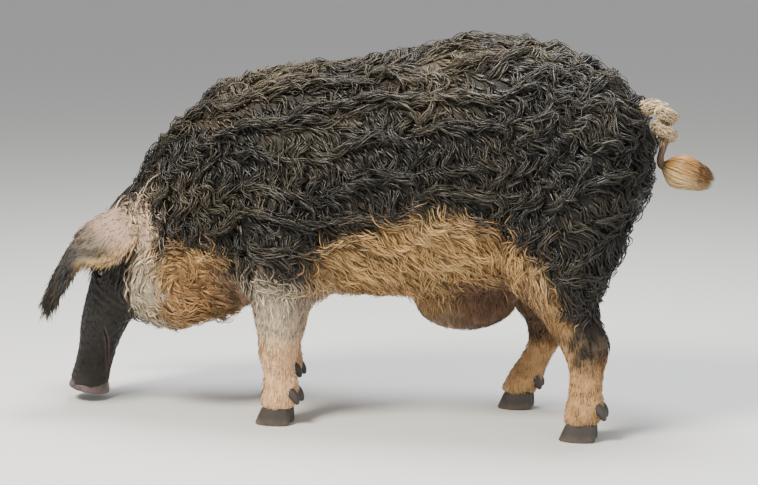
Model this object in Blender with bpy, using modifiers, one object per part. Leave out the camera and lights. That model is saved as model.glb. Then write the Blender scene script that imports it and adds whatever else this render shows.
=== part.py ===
"""Mangalica pig of the swallow-bellied kind, standing with its head down to graze: a life-size still model.

Metres, +Z up. The pig faces -X and its left side is at -Y. The floor is z = 0, and the origin is on the
floor under the middle of the whole model.
"""

import math

import bmesh
import bpy
import numpy as np
from mathutils import Matrix, Vector
from mathutils.bvhtree import BVHTree

# Driving sizes, all in metres.
HIP_HEIGHT = 0.829
BODY_WIDTH = 0.43
COAT_DEPTH = 0.028
CORE_SHARE = 0.45
GAP = 0.0003
BODY_VOXEL = 0.011
HEAD_VOXEL = 0.006
BODY_FACES = 1500
HEAD_FACES = 1200
CLUMP_COUNT = 110
CLUMP_LENGTH = 0.150
CLUMP_WIDTH = 0.103
CLUMP_SECTION = ((-1.0, -0.35), (-0.48, 0.84), (0.40, 0.92), (1.0, -0.35))
CLUMP_WIDTHS = (0.55, 0.96, 1.0, 0.72)
CLUMP_HEIGHTS = (0.45, 0.95, 1.0, 0.85)
CLUMP_SINK = 0.0015
CLUMP_CLEARANCE = 0.016
SEED = 2

# The trunk from rump to snout, out to the coat's tips. Each station has the outline's top and bottom points
# (x, z) in the side view, its half width as a share of the body's width, and how high up it is widest.
TRUNK = {
    "tail end": ((0.562, 0.601), (0.562, 0.546), 0.06, 0.50),
    "buttock": ((0.554, 0.661), (0.548, 0.470), 0.24, 0.50),
    "pin bones": ((0.526, 0.712), (0.506, 0.388), 0.37, 0.50),
    "croup": ((0.466, 0.767), (0.444, 0.322), 0.44, 0.50),
    "rump": ((0.370, 0.807), (0.370, 0.296), 0.485, 0.50),
    "hips": ((0.250, HIP_HEIGHT), (0.260, 0.276), 0.50, 0.50),
    "loin": ((0.120, 0.812), (0.140, 0.264), 0.505, 0.47),
    "ribs": ((0.000, 0.788), (0.000, 0.262), 0.50, 0.46),
    "girth": ((-0.120, 0.773), (-0.130, 0.260), 0.485, 0.47),
    "withers": ((-0.240, 0.758), (-0.230, 0.250), 0.46, 0.48),
    "neck root": ((-0.340, 0.724), (-0.290, 0.228), 0.43, 0.46),
    "neck": ((-0.430, 0.652), (-0.340, 0.197), 0.405, 0.44),
    "crest": ((-0.505, 0.566), (-0.385, 0.175), 0.38, 0.42),
    "nape": ((-0.563, 0.493), (-0.430, 0.164), 0.345, 0.42),
    "poll": ((-0.602, 0.433), (-0.470, 0.165), 0.295, 0.42),
    "forehead": ((-0.622, 0.374), (-0.504, 0.178), 0.245, 0.50),
    "eyes": ((-0.637, 0.311), (-0.536, 0.176), 0.205, 0.58),
    "cheeks": ((-0.656, 0.248), (-0.562, 0.167), 0.172, 0.55),
    "snout root": ((-0.676, 0.186), (-0.585, 0.140), 0.140, 0.52),
    "snout": ((-0.690, 0.121), (-0.606, 0.096), 0.120, 0.50),
    "snout end": ((-0.700, 0.064), (-0.620, 0.046), 0.110, 0.50),
    "disc rim": ((-0.706, 0.034), (-0.626, 0.016), 0.112, 0.50),
}
TRUNK_SQUARENESS = 2.25

# A foreleg and a hind leg, from inside the trunk down to the claws. Each ring has its centre's x from the
# foot, its height, and its half length and half width.
FORE_LIMB = (
    (0.030, 0.550, 0.115, 0.070),
    (0.020, 0.440, 0.120, 0.088),
    (0.012, 0.360, 0.098, 0.080),
    (0.008, 0.285, 0.072, 0.060),
    (0.004, 0.230, 0.055, 0.047),
    (0.000, 0.185, 0.043, 0.039),
    (-0.002, 0.155, 0.041, 0.038),
    (0.000, 0.118, 0.033, 0.032),
    (0.004, 0.074, 0.038, 0.037),
    (-0.003, 0.034, 0.036, 0.040),
)
HIND_LIMB = (
    (-0.060, 0.590, 0.135, 0.080),
    (-0.055, 0.490, 0.135, 0.098),
    (-0.055, 0.390, 0.112, 0.090),
    (-0.052, 0.315, 0.078, 0.070),
    (-0.034, 0.258, 0.058, 0.054),
    (-0.012, 0.222, 0.056, 0.044),
    (0.002, 0.192, 0.049, 0.038),
    (0.006, 0.150, 0.036, 0.032),
    (0.004, 0.108, 0.033, 0.031),
    (0.003, 0.070, 0.038, 0.037),
    (-0.005, 0.034, 0.037, 0.040),
)
# Each leg's foot (x, y), and how far its hock or knee is carried back from over the foot.
FEET = {
    "fore_left": (-0.187, -0.130, 0.0),
    "fore_right": (-0.252, 0.130, 0.015),
    "hind_left": (0.458, -0.130, 0.0),
    "hind_right": (0.288, 0.130, 0.060),
}
LEG_TOP = {"fore": 0.226, "hind": 0.276}
LEG_BOTTOM = 0.034
FORE_ROOM = (-0.062, 0.085)
HIND_ROOM = (-0.120, 0.140)

# Rounded masses on the trunk, for each side: centre, radii, and the turns about Y and X in degrees.
HEAD_MASSES = {
    "jowl": ((-0.448, 0.078, 0.264), (0.108, 0.070, 0.066), 8, 12),
    "brow": ((-0.600, 0.052, 0.331), (0.024, 0.026, 0.034), 0, 0),
}
BODY_MASSES = {
    "ham": ((0.398, 0.100, 0.476), (0.116, 0.085, 0.180), -4, 0),
    "shoulder": ((-0.165, 0.105, 0.446), (0.120, 0.080, 0.190), -14, 0),
}
POUCH = ((0.190, 0, 0.264), (0.112, 0.058, 0.068), -5)

# A claw's rings from the sole up: height, shift forward, half length and half width. The last one is raised
# to the leg. A small claw's stations: length back from the foot, height and radius.
CLAW_RINGS = (
    (0.000, -0.0100, 0.0345, 0.0142),
    (0.003, -0.0100, 0.0375, 0.0165),
    (0.014, -0.0075, 0.0355, 0.0172),
    (LEG_BOTTOM - GAP, -0.0040, 0.0300, 0.0155),
)
CLAW_SPREAD = 0.0190
DEWCLAW_STATIONS = (
    (0.022, 0.078, 0.0090),
    (0.033, 0.070, 0.0105),
    (0.042, 0.057, 0.0085),
    (0.045, 0.046, 0.0045),
)
DEWCLAW_SPREAD = 0.0185

# The lines in the side view where the nodes part, each through two points (x, z), from front to rear.
PARTINGS = {
    "muzzle": ((-0.680, 0.226), (-0.520, 0.182)),
    "head": ((-0.500, 0.550), (-0.365, 0.160)),
    "neck": ((-0.270, 0.800), (-0.340, 0.200)),
    "torso": ((0.220, 0.850), (0.085, 0.200)),
}

# The head's own frame: the poll, the way from it down the face to the snout, and the way to the throat.
POLL = Vector((-0.602, 0, 0.433))
FACE_WAY = Vector((-0.2195, 0, -0.9756))
THROAT_WAY = Vector((0.9756, 0, -0.2195))
DISC_CENTRE = Vector((-0.666, 0, 0.025))
DISC_HEIGHT = 0.086
DISC_WIDTH = 0.098
DISC_DEPTH = 0.015
DISC_PROFILE = ((1.0, 0.93), (0.62, 1.0), (0.22, 1.0), (0.0, 0.95), (0.015, 0.84), (0.11, 0.76))
NOSTRIL_SPREAD = 0.0185
NOSTRIL_RADII = (0.0095, 0.0075, 0.0105)
EYE_AT = (-0.597, 0.304)
EYE_RADIUS = 0.0125
EYE_SINK = 0.0085
LID_THICKNESS = 0.0028
MOUTH_FRONT = 0.372
MOUTH_CORNER = 0.262
MOUTH_RADIUS = 0.0024
LIP_RADIUS = 0.0055

# An ear: its base line on the head from front to rear, its tip, and the way its width lies in the outer half.
# Each station has its share of the length, its width, and how far its middle is moved along the base line.
EAR_BASE = ((-0.588, 0.064, 0.442), (-0.485, 0.125, 0.376))
EAR_TIP = (-0.690, 0.158, 0.246)
EAR_TURNED = (0.35, 0.80, -0.45)
EAR_STATIONS = (
    (-0.08, 0.096, 0.000),
    (0.00, 0.118, 0.000),
    (0.18, 0.122, -0.004),
    (0.34, 0.108, -0.007),
    (0.48, 0.088, -0.020),
    (0.66, 0.074, -0.012),
    (0.85, 0.066, -0.004),
    (0.95, 0.042, 0.000),
    (1.00, 0.012, 0.000),
)
EAR_THICKNESS = (0.008, 0.0028)
EAR_CUP = 0.036
EAR_ARCH = 0.022

# The tail: its root, a hanging ringlet, a thin length down, and the tassel of long hair.
TAIL_ROOT = Vector((0.540, 0, 0.664))
TAIL_LEAD = (0.568, 0.002, 0.673, 0.0145)
TAIL_DROP = (
    (0.598, 0.002, 0.590, 0.0080),
    (0.593, 0.000, 0.572, 0.0080),
    (0.596, 0.000, 0.555, 0.0100),
    (0.622, 0.000, 0.545, 0.0130),
)
RINGLET_CENTRE = (0.600, 0.0)
RINGLET_RADIUS = 0.0125
RINGLET_TURNS = 1.75
RINGLET_TOP, RINGLET_BOTTOM = 0.672, 0.608
TASSEL_ROOT = Vector((0.596, 0, 0.555))
TASSEL_TIP = Vector((0.702, 0, 0.516))
TASSEL_THICKNESS = 0.078
TASSEL_LOCKS = 9
LOCK_WIDTHS = (0.016, 0.031, 0.034, 0.022, 0.0)
LOCK_HEIGHTS = (0.005, 0.009, 0.009, 0.006, 0.0)
LOCK_SECTION = ((-0.7, -0.7), (-1.0, 0.2), (0.0, 1.0), (1.0, 0.2), (0.7, -0.7))

COLOURS = {
    "black coat": (0.035, 0.031, 0.029),
    "dark face": (0.045, 0.038, 0.033),
    "snout skin": (0.075, 0.055, 0.050),
    "ear skin": (0.170, 0.125, 0.105),
    "leg skin": (0.330, 0.235, 0.170),
    "tail hair": (0.520, 0.370, 0.190),
    "eye": (0.012, 0.008, 0.006),
    "claw": (0.060, 0.048, 0.040),
}


def spline(keys, count):
    """Rows of numbers on a smooth curve through the keys: a Catmull-Rom spline with even steps."""
    keys = np.array(keys, float)
    padded = np.vstack([2 * keys[0] - keys[1], keys, 2 * keys[-1] - keys[-2]])
    at = np.linspace(0, len(keys) - 1, count)
    cell = np.minimum(at.astype(int), len(keys) - 2)
    t = (at - cell)[:, None]
    a, b, c, d = (padded[cell + i] for i in range(4))
    return 0.5 * (2 * b + (c - a) * t + (2 * a - 5 * b + 4 * c - d) * t**2 + (3 * b - a - 3 * c + d) * t**3)


def smooth_step(low, high, value):
    t = np.clip((value - low) / (high - low), 0, 1)
    return t * t * (3 - 2 * t)


def from_bmesh(mesh, name):
    data = bpy.data.meshes.new(name)
    mesh.to_mesh(data)
    mesh.free()
    obj = bpy.data.objects.new(name, data)
    bpy.context.scene.collection.objects.link(obj)
    return obj


def loft(rings, name):
    """A closed object through rings of points, each ring an array of the same number of points."""
    count = len(rings[0])
    mesh = bmesh.new()
    rows = [[mesh.verts.new(p) for p in ring] for ring in rings]
    for low, high in zip(rows, rows[1:]):
        for i in range(count):
            mesh.faces.new((low[i], low[(i + 1) % count], high[(i + 1) % count], high[i]))
    mesh.faces.new(rows[0][::-1])
    mesh.faces.new(rows[-1])
    bmesh.ops.recalc_face_normals(mesh, faces=mesh.faces)
    return from_bmesh(mesh, name)


def ellipsoid(name, centre, radii, pitch=0.0, roll=0.0, detail=16):
    """A ball stretched to three radii, turned about Y by pitch and about X by roll, in degrees."""
    mesh = bmesh.new()
    bmesh.ops.create_uvsphere(mesh, u_segments=detail, v_segments=detail // 2, radius=1)
    turn = Matrix.Rotation(math.radians(roll), 4, "X") @ Matrix.Rotation(math.radians(pitch), 4, "Y")
    mesh.transform(Matrix.Translation(centre) @ turn @ Matrix.Diagonal((*radii, 1)))
    return from_bmesh(mesh, name)


def evaluated(obj):
    """The object with its modifiers applied to a mesh of its own."""
    graph = bpy.context.evaluated_depsgraph_get()
    made = bpy.data.meshes.new_from_object(obj.evaluated_get(graph))
    old = obj.data
    obj.modifiers.clear()
    obj.data = made
    bpy.data.meshes.remove(old)
    return obj


def points_of(obj):
    found = np.empty(len(obj.data.vertices) * 3)
    obj.data.vertices.foreach_get("co", found)
    return found.reshape(-1, 3)


def normals_of(obj):
    found = np.empty(len(obj.data.vertices) * 3, np.float32)
    obj.data.vertex_normals.foreach_get("vector", found)
    return found.reshape(-1, 3).astype(float)


def inflate(obj, depth):
    """Moves each point out along its normal by depth, a number or one for each point."""
    moved = points_of(obj) + normals_of(obj) * np.reshape(depth, (-1, 1))
    obj.data.vertices.foreach_set("co", moved.ravel())
    obj.data.update()
    return obj


def joined(objects, name):
    """One object with the faces of all the others, which are removed. Their surfaces may still cross."""
    mesh = bmesh.new()
    for obj in objects:
        mesh.from_mesh(obj.data)
        bpy.data.objects.remove(obj)
    return from_bmesh(mesh, name)


def fused(objects, name, voxel, smoothing):
    """The outer skin of crossing shapes as one smooth closed form."""
    obj = joined(objects, name)
    remesh = obj.modifiers.new("fuse", "REMESH")
    remesh.mode = "VOXEL"
    remesh.voxel_size = voxel
    soften = obj.modifiers.new("soften", "SMOOTH")
    soften.factor = 0.5
    soften.iterations = smoothing
    return evaluated(obj)


def coat_share(points):
    """The coat's depth at points as a share of its full depth: thin on the face, lower legs and pouch."""
    x, z = points[..., 0], points[..., 2]
    shaggy = smooth_step(-0.600, -0.535, x)
    front = smooth_step(-0.31, -0.36, x)
    lifted = np.maximum(smooth_step(0.22, 0.36, z), front)
    cheek = smooth_step(-0.36, -0.46, x) * smooth_step(0.44, 0.34, z)
    return 0.10 + 0.90 * shaggy * lifted * (1 - 0.35 * cheek)


def trunk(name, start=0):
    """The skin of the trunk, neck and head: superellipses set inside the outline by the coat's depth."""
    keys = [(*top, *bottom, share * BODY_WIDTH, level) for top, bottom, share, level in TRUNK.values()]
    angles = np.linspace(0, math.tau, 40, endpoint=False)
    side = np.sign(np.cos(angles)) * np.abs(np.cos(angles)) ** (2 / TRUNK_SQUARENESS)
    up = np.sign(np.sin(angles)) * np.abs(np.sin(angles)) ** (2 / TRUNK_SQUARENESS)
    rings = []
    for top_x, top_z, bottom_x, bottom_z, half, level in spline(keys[start:], 4 * len(keys[start:])):
        top, bottom = np.array([top_x, top_z]), np.array([bottom_x, bottom_z])
        middle = bottom + level * (top - bottom)
        reach = np.where(up[:, None] > 0, top - middle, middle - bottom)
        flat = middle + up[:, None] * reach
        ring = np.column_stack([flat[:, 0], half * side, flat[:, 1]])
        centre = np.array([middle[0], 0, middle[1]])
        outward = ring - centre
        length = np.linalg.norm(outward, axis=1, keepdims=True)
        depth = np.minimum(coat_share(ring)[:, None] * COAT_DEPTH, length * 0.6)
        rings.append(ring - outward / length * depth)
    return loft(rings, name)


def limb_rows(foot, count=60):
    """Rings of a leg as (x, y, z, half length, half width), from the trunk down."""
    x, y, carried = FEET[foot]
    keys = FORE_LIMB if foot.startswith("fore") else HIND_LIMB
    rows = spline(keys, count)
    joint_height = 0.20
    bend = smooth_step(LEG_BOTTOM, joint_height, rows[:, 1]) * carried
    bend -= smooth_step(joint_height, 0.50, rows[:, 1]) * carried * 0.4
    inward = -math.copysign(1, y) * 0.035 * smooth_step(0.25, 0.60, rows[:, 1])
    return np.column_stack([x + rows[:, 0] + bend, np.full(count, y) + inward, rows[:, 1:]])


def limb(foot, name, heights=None, sides=20):
    """A leg, whole or with a ring at each of the heights."""
    rows = limb_rows(foot)
    if heights is not None:
        rising = rows[::-1]
        rows = np.column_stack([np.interp(heights, rising[:, 2], column) for column in rising.T])
    angles = np.linspace(0, math.tau, sides, endpoint=False)
    rings = []
    if heights is not None:
        rows[:, 3:] += CORE_SHARE * COAT_DEPTH * coat_share(rows)[:, None]
    for x, y, z, length, width in rows:
        ring = [x + length * np.cos(angles), y + width * np.sin(angles), np.full(sides, z)]
        rings.append(np.column_stack(ring))
    return loft(rings, name)


def masses(table):
    """The rounded masses of a table, one of each for either side."""
    made = []
    for name, (centre, radii, pitch, roll) in table.items():
        for side in (-1, 1):
            placed = (centre[0], side * centre[1], centre[2])
            made.append(ellipsoid(name, placed, radii, pitch, side * roll))
    return made


def core(parts, name, voxel, smoothing, faces):
    """Crossing forms fused, grown out into the coat by the core's share of it, and made of few faces."""
    obj = fused(parts, name, voxel, smoothing)
    inflate(obj, CORE_SHARE * COAT_DEPTH * coat_share(points_of(obj)))
    thin_out = obj.modifiers.new("thin out", "DECIMATE")
    thin_out.ratio = faces / (2 * len(obj.data.polygons))
    return evaluated(obj)


def boolean(obj, others, operation, solver="EXACT"):
    """Joins the others to obj or cuts it by them, and removes them."""
    tools = bpy.data.collections.new("tools")
    bpy.context.scene.collection.children.link(tools)
    for other in others:
        bpy.context.scene.collection.objects.unlink(other)
        tools.objects.link(other)
    change = obj.modifiers.new(operation.lower(), "BOOLEAN")
    change.operation = operation
    change.solver = solver
    if len(others) == 1:
        change.object = others[0]
    else:
        change.operand_type = "COLLECTION"
        change.collection = tools
    evaluated(obj)
    for other in others:
        bpy.data.objects.remove(other)
    bpy.data.collections.remove(tools)
    return obj


def copy_of(obj, name):
    twin = bpy.data.objects.new(name, obj.data.copy())
    bpy.context.scene.collection.objects.link(twin)
    return twin


def keep_largest(obj):
    """Leaves the largest closed surface of obj, in triangles."""
    mesh = bmesh.new()
    mesh.from_mesh(obj.data)
    bmesh.ops.triangulate(mesh, faces=mesh.faces)
    left = set(mesh.faces)
    pieces = []
    while left:
        piece = [left.pop()]
        for face in piece:
            near = {other for edge in face.edges for other in edge.link_faces} & left
            piece.extend(near)
            left -= near
        pieces.append(piece)
    pieces.sort(key=lambda piece: -sum(face.calc_area() for face in piece))
    bmesh.ops.delete(mesh, geom=[face for piece in pieces[1:] for face in piece], context="FACES")
    mesh.to_mesh(obj.data)
    mesh.free()
    return obj


def block(outline, low_y, high_y, name="block"):
    """A prism from an outline of (x, z) points in the side view, between two values of y."""
    rings = [np.array([(x, y, z) for x, z in outline]) for y in (low_y, high_y)]
    return loft(rings, name)


def parting_x(name, height, shift=0.0):
    (high_x, high_z), (low_x, low_z) = PARTINGS[name]
    return low_x + (high_x - low_x) * (height - low_z) / (high_z - low_z) + shift


def between(front, rear, name):
    """A tall block from one parting line to the next, less half the gap at each."""
    low, high, wide = -0.2, 1.1, 0.6
    corners = [(parting_x(front, z, GAP / 2) if front else -1.2, z) for z in (low, high)]
    corners += [(parting_x(rear, z, -GAP / 2) if rear else 1.2, z) for z in (high, low)]
    return block(corners, -wide, wide, name)


def tube(points, radii, sides, name):
    """A closed tube along points, with its section turned as little as the path allows."""
    points = np.array(points, float)
    ways = np.gradient(points, axis=0)
    ways /= np.linalg.norm(ways, axis=1, keepdims=True)
    across = np.cross(ways[0], (0.3, 0.9, 0.2))
    angles = np.linspace(0, math.tau, sides, endpoint=False)
    rings = []
    for point, way, radius in zip(points, ways, np.broadcast_to(radii, len(points))):
        across = across - way * (across @ way)
        across /= np.linalg.norm(across)
        up = np.cross(way, across)
        rings.append(point + radius * (np.outer(np.cos(angles), across) + np.outer(np.sin(angles), up)))
    return loft(rings, name)


def tree_of(obj):
    obj.data.calc_loop_triangles()
    corners = [triangle.vertices[:] for triangle in obj.data.loop_triangles]
    return BVHTree.FromPolygons([v.co.copy() for v in obj.data.vertices], corners)


def head_core():
    """The head and the front of the neck, in a finer mesh than the body's."""
    start = list(TRUNK).index("neck root")
    return core([trunk("skull", start)] + masses(HEAD_MASSES), "head", HEAD_VOXEL, 8, HEAD_FACES)


def head_point(along, angle, surface, radius=0.3):
    """The head's surface at a length down the face, and an angle from the throat's side towards the left."""
    axis = POLL + FACE_WAY * along + THROAT_WAY * 0.045
    way = THROAT_WAY * math.cos(angle) + Vector((0, math.sin(angle), 0))
    return surface.ray_cast(axis + way * radius, -way)[0]


def mouth_line(surface, count=19):
    """Points on the head's surface from one corner of the mouth, round under the snout, to the other."""
    found = []
    for share in np.linspace(-1, 1, count):
        # The line is flat under the chin and rises fast to the corners.
        along = MOUTH_FRONT - (MOUTH_FRONT - MOUTH_CORNER) * abs(share) ** 1.7
        found.append(head_point(along, share * math.radians(78), surface))
    return found


def eye_frames(surface):
    """For each side, the eye's centre, the way it looks, and the way towards its front corner."""
    frames = {}
    for word, side in (("left", -1), ("right", 1)):
        start = Vector((EYE_AT[0], side * 0.4, EYE_AT[1]))
        spot, normal, _, _ = surface.ray_cast(start, Vector((0, -side, 0)))
        look = (normal + Vector((-0.25, side * 0.8, 0.1))).normalized()
        front = (FACE_WAY - look * FACE_WAY.dot(look)).normalized()
        frames[word] = (spot - look * EYE_SINK, look, front)
    return frames


def almond(centre, look, front, length, height, depth, name):
    """A prism whose outline is an almond, for the opening between the lids."""
    up = look.cross(front)
    outline = []
    for turn in np.linspace(0, math.tau, 14, endpoint=False):
        taper = math.sin(turn) * (1 - 0.25 * math.cos(turn) ** 2)
        outline.append(centre + front * length * math.cos(turn) + up * height * taper)
    return loft([np.array([p + look * reach for p in outline]) for reach in (0, depth)], name)


def snout_room(set_down, keep_off):
    """A block in front of the muzzle's parting line, up to a length short of the disc's face."""
    high, low = (Vector((x, 0, z - set_down)) for x, z in PARTINGS["muzzle"])
    along = (low - high).normalized()
    corners = [high - along * 0.5, low + along * 0.1]
    front = DISC_CENTRE - FACE_WAY * keep_off if keep_off < 1 else DISC_CENTRE + FACE_WAY
    corners += [front + THROAT_WAY * 0.3, front - THROAT_WAY * 0.5]
    return block([(corner.x, corner.z) for corner in corners], -0.3, 0.3, "snout room")


def detailed_head(head, frames, surface, coat):
    """Adds clumps, lids and lips to the head's core, then cuts the sockets and the line of the mouth."""
    added, cut = list(coat), []
    for centre, look, front in frames.values():
        added.append(ellipsoid("lids", centre, [EYE_RADIUS + LID_THICKNESS] * 3, detail=14))
        cut.append(almond(centre, look, front, EYE_RADIUS * 0.98, EYE_RADIUS * 0.62, 0.04, "opening"))
        cut.append(ellipsoid("socket", centre, [EYE_RADIUS + GAP] * 3, detail=12))
    line = mouth_line(surface)
    inner = [point + (Vector((point.x + 0.045, 0, point.z)) - point).normalized() * 0.001 for point in line]
    ends = np.sin(np.linspace(0.15, math.pi - 0.15, len(line))) ** 0.4
    added.append(tube(inner, LIP_RADIUS * ends, 7, "lips"))
    cut.append(tube(line, MOUTH_RADIUS * ends, 6, "mouth"))
    boolean(head, added, "UNION", "MANIFOLD")
    return boolean(head, cut, "DIFFERENCE", "MANIFOLD")


def disc_ring(back, height, width, count=18):
    """An oval ring across the snout, set back from the disc's face."""
    angles = np.linspace(0, math.tau, count, endpoint=False)
    centre = np.array(DISC_CENTRE) - np.array(FACE_WAY) * back
    tall = np.outer(np.cos(angles) * height / 2, THROAT_WAY)
    wide = np.outer(np.sin(angles) * width / 2, (0, 1, 0))
    return centre + tall + wide


def snout_disc():
    """The flat disc at the snout's end, with its raised rim and two nostrils."""
    deep = DISC_DEPTH - GAP
    rings = [disc_ring(deep * back, DISC_HEIGHT * share, DISC_WIDTH * share) for back, share in DISC_PROFILE]
    disc = loft(rings, "snout_disc")
    nostrils = []
    tilt = math.degrees(math.atan2(THROAT_WAY.z, THROAT_WAY.x))
    for side in (-1, 1):
        centre = DISC_CENTRE + Vector((0, side * NOSTRIL_SPREAD, 0)) - THROAT_WAY * 0.002
        nostrils.append(ellipsoid("nostril", centre, NOSTRIL_RADII, pitch=-tilt, detail=10))
    return boolean(disc, nostrils, "DIFFERENCE")


def ear_grid(word, surface, across=7, along=12):
    """The middle of an ear as a grid of points, with the way out of its back at each.

    The grid runs across from the front edge to the rear edge and along from the root to the tip. Its root row
    lies on the head, the sides bend in towards the face so that the ear is a cup, and past its middle the
    ear turns so that its width lies across the face.
    """
    side = -1 if word == "left" else 1
    mirror = np.array([1, side, 1])
    front, rear, tip, turned = (np.array(p) * mirror for p in (*EAR_BASE, EAR_TIP, EAR_TURNED))
    base = (front + rear) / 2
    length_way = tip - base
    base_way = (rear - front) / np.linalg.norm(rear - front)
    shares = np.linspace(EAR_STATIONS[0][0], 1, along)
    stations = np.array(EAR_STATIONS).T
    u = np.linspace(-1, 1, across)
    grid = np.empty((along, across, 3))
    for row, share in enumerate(shares):
        width, shift = (np.interp(share, stations[0], column) for column in stations[1:])
        turning = smooth_step(0.34, 0.52, share)
        wide = base_way * (1 - turning) + turned * turning
        wide /= np.linalg.norm(wide)
        out = np.cross(length_way, wide) * side * -1
        out /= np.linalg.norm(out)
        arch = math.sin(math.pi * min(max(share, 0), 1)) * EAR_ARCH
        cup = EAR_CUP * (1 - 0.88 * max(share, 0)) * (u**2 + 0.35 * np.maximum(u, 0) ** 3)
        centre = base + length_way * share + out * arch + base_way * shift
        grid[row] = centre + np.outer(u * width / 2, wide) - np.outer(cup - EAR_CUP * 0.3, out)
    root = grid[0] * 0.3 + grid[1] * 0.7
    rooted = []
    for point in root:
        spot, normal, _, _ = surface.find_nearest(Vector(point))
        rooted.append(np.array(spot - normal * 0.008))
    shift = np.array(rooted) - root
    for row, share in enumerate(shares):
        grid[row] += shift * (1 - max(share, 0)) ** 3
    rows_way = np.gradient(grid, axis=0)
    across_way = np.gradient(grid, axis=1)
    normal = np.cross(rows_way, across_way) * side * -1
    normal /= np.linalg.norm(normal, axis=2, keepdims=True)
    return grid, normal, shares


def ear(word, surface, head):
    """An ear as a thin cup: two faces of the grid split into triangles alike, and a rim between them."""
    grid, normal, shares = ear_grid(word, surface)
    thick = np.interp(shares, (0, 1), EAR_THICKNESS)[:, None, None] / 2
    mesh = bmesh.new()
    sheets = [[[mesh.verts.new(p) for p in row] for row in grid + normal * thick * way] for way in (1, -1)]
    rows, columns = grid.shape[:2]
    for sheet in sheets:
        for i in range(rows - 1):
            for j in range(columns - 1):
                mesh.faces.new((sheet[i][j], sheet[i + 1][j], sheet[i + 1][j + 1]))
                mesh.faces.new((sheet[i][j], sheet[i + 1][j + 1], sheet[i][j + 1]))
    edge = [(i, 0) for i in range(rows)] + [(rows - 1, j) for j in range(1, columns)]
    edge += [(i, columns - 1) for i in range(rows - 2, -1, -1)]
    edge += [(0, j) for j in range(columns - 2, 0, -1)]
    back, front = sheets
    for (i, j), (k, m) in zip(edge, edge[1:] + edge[:1]):
        mesh.faces.new((back[i][j], back[k][m], front[k][m], front[i][j]))
    bmesh.ops.recalc_face_normals(mesh, faces=mesh.faces)
    obj = from_bmesh(mesh, f"ear_{word}")
    return keep_largest(boolean(obj, [inflate(copy_of(head, "root"), GAP)], "DIFFERENCE"))


def strand(centres, ups, widths, heights, section, name):
    """A tapered lock along centres. Each ring is a section of (across, up) shares, and the end is a point."""
    ways = np.gradient(centres, axis=0)
    ways /= np.linalg.norm(ways, axis=1, keepdims=True)
    across = np.cross(ups, ways)
    across /= np.linalg.norm(across, axis=1, keepdims=True)
    mesh = bmesh.new()
    rows = []
    for i in range(len(centres) - 1):
        ring = [centres[i] + across[i] * a * widths[i] / 2 + ups[i] * b * heights[i] for a, b in section]
        rows.append([mesh.verts.new(p) for p in ring])
    tip = mesh.verts.new(centres[-1])
    sides = len(section)
    for low, high in zip(rows, rows[1:]):
        for i in range(sides):
            mesh.faces.new((low[i], low[(i + 1) % sides], high[(i + 1) % sides], high[i]))
    for i in range(sides):
        mesh.faces.new((rows[-1][i], rows[-1][(i + 1) % sides], tip))
    mesh.faces.new(rows[0][::-1])
    bmesh.ops.recalc_face_normals(mesh, faces=mesh.faces)
    return from_bmesh(mesh, name)


def lie(point, normal):
    """The way the coat lies: back along the trunk, down over the flanks, and straight down on the rump."""
    flank = 0.35 + 0.45 * abs(normal.y)
    rump = smooth_step(0.35, 0.85, normal.x)
    thigh = smooth_step(0.50, 0.32, point.z) * smooth_step(-0.34, -0.26, point.x)
    down = max(rump, 0.75 * thigh)
    way = Vector((1 - down, 0, -(flank * (1 - down) + down)))
    way -= normal * way.dot(normal)
    return way.normalized() if way.length > 1e-4 else Vector((0, 0, -1))


def seeds(obj, count, rng):
    """Points spread evenly over the shaggy part of obj: each is the one farthest from those before it."""
    mesh = obj.data
    mesh.calc_loop_triangles()
    points = points_of(obj)
    corners = points[np.array([triangle.vertices[:] for triangle in mesh.loop_triangles])]
    area = np.linalg.norm(np.cross(corners[:, 1] - corners[:, 0], corners[:, 2] - corners[:, 0]), axis=1)
    picked = rng.choice(len(corners), 9000, p=area / area.sum())
    a, b = rng.random((2, 9000, 1))
    a, b = np.where(a + b > 1, 1 - a, a), np.where(a + b > 1, 1 - b, b)
    spots = corners[picked]
    spots = spots[:, 0] + a * (spots[:, 1] - spots[:, 0]) + b * (spots[:, 2] - spots[:, 0])
    spots = spots[coat_share(spots) > 0.50]
    chosen = [0]
    nearest = np.linalg.norm(spots - spots[0], axis=1)
    while len(chosen) < count:
        chosen.append(int(np.argmax(nearest)))
        nearest = np.minimum(nearest, np.linalg.norm(spots - spots[chosen[-1]], axis=1))
    return spots[chosen]


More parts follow.
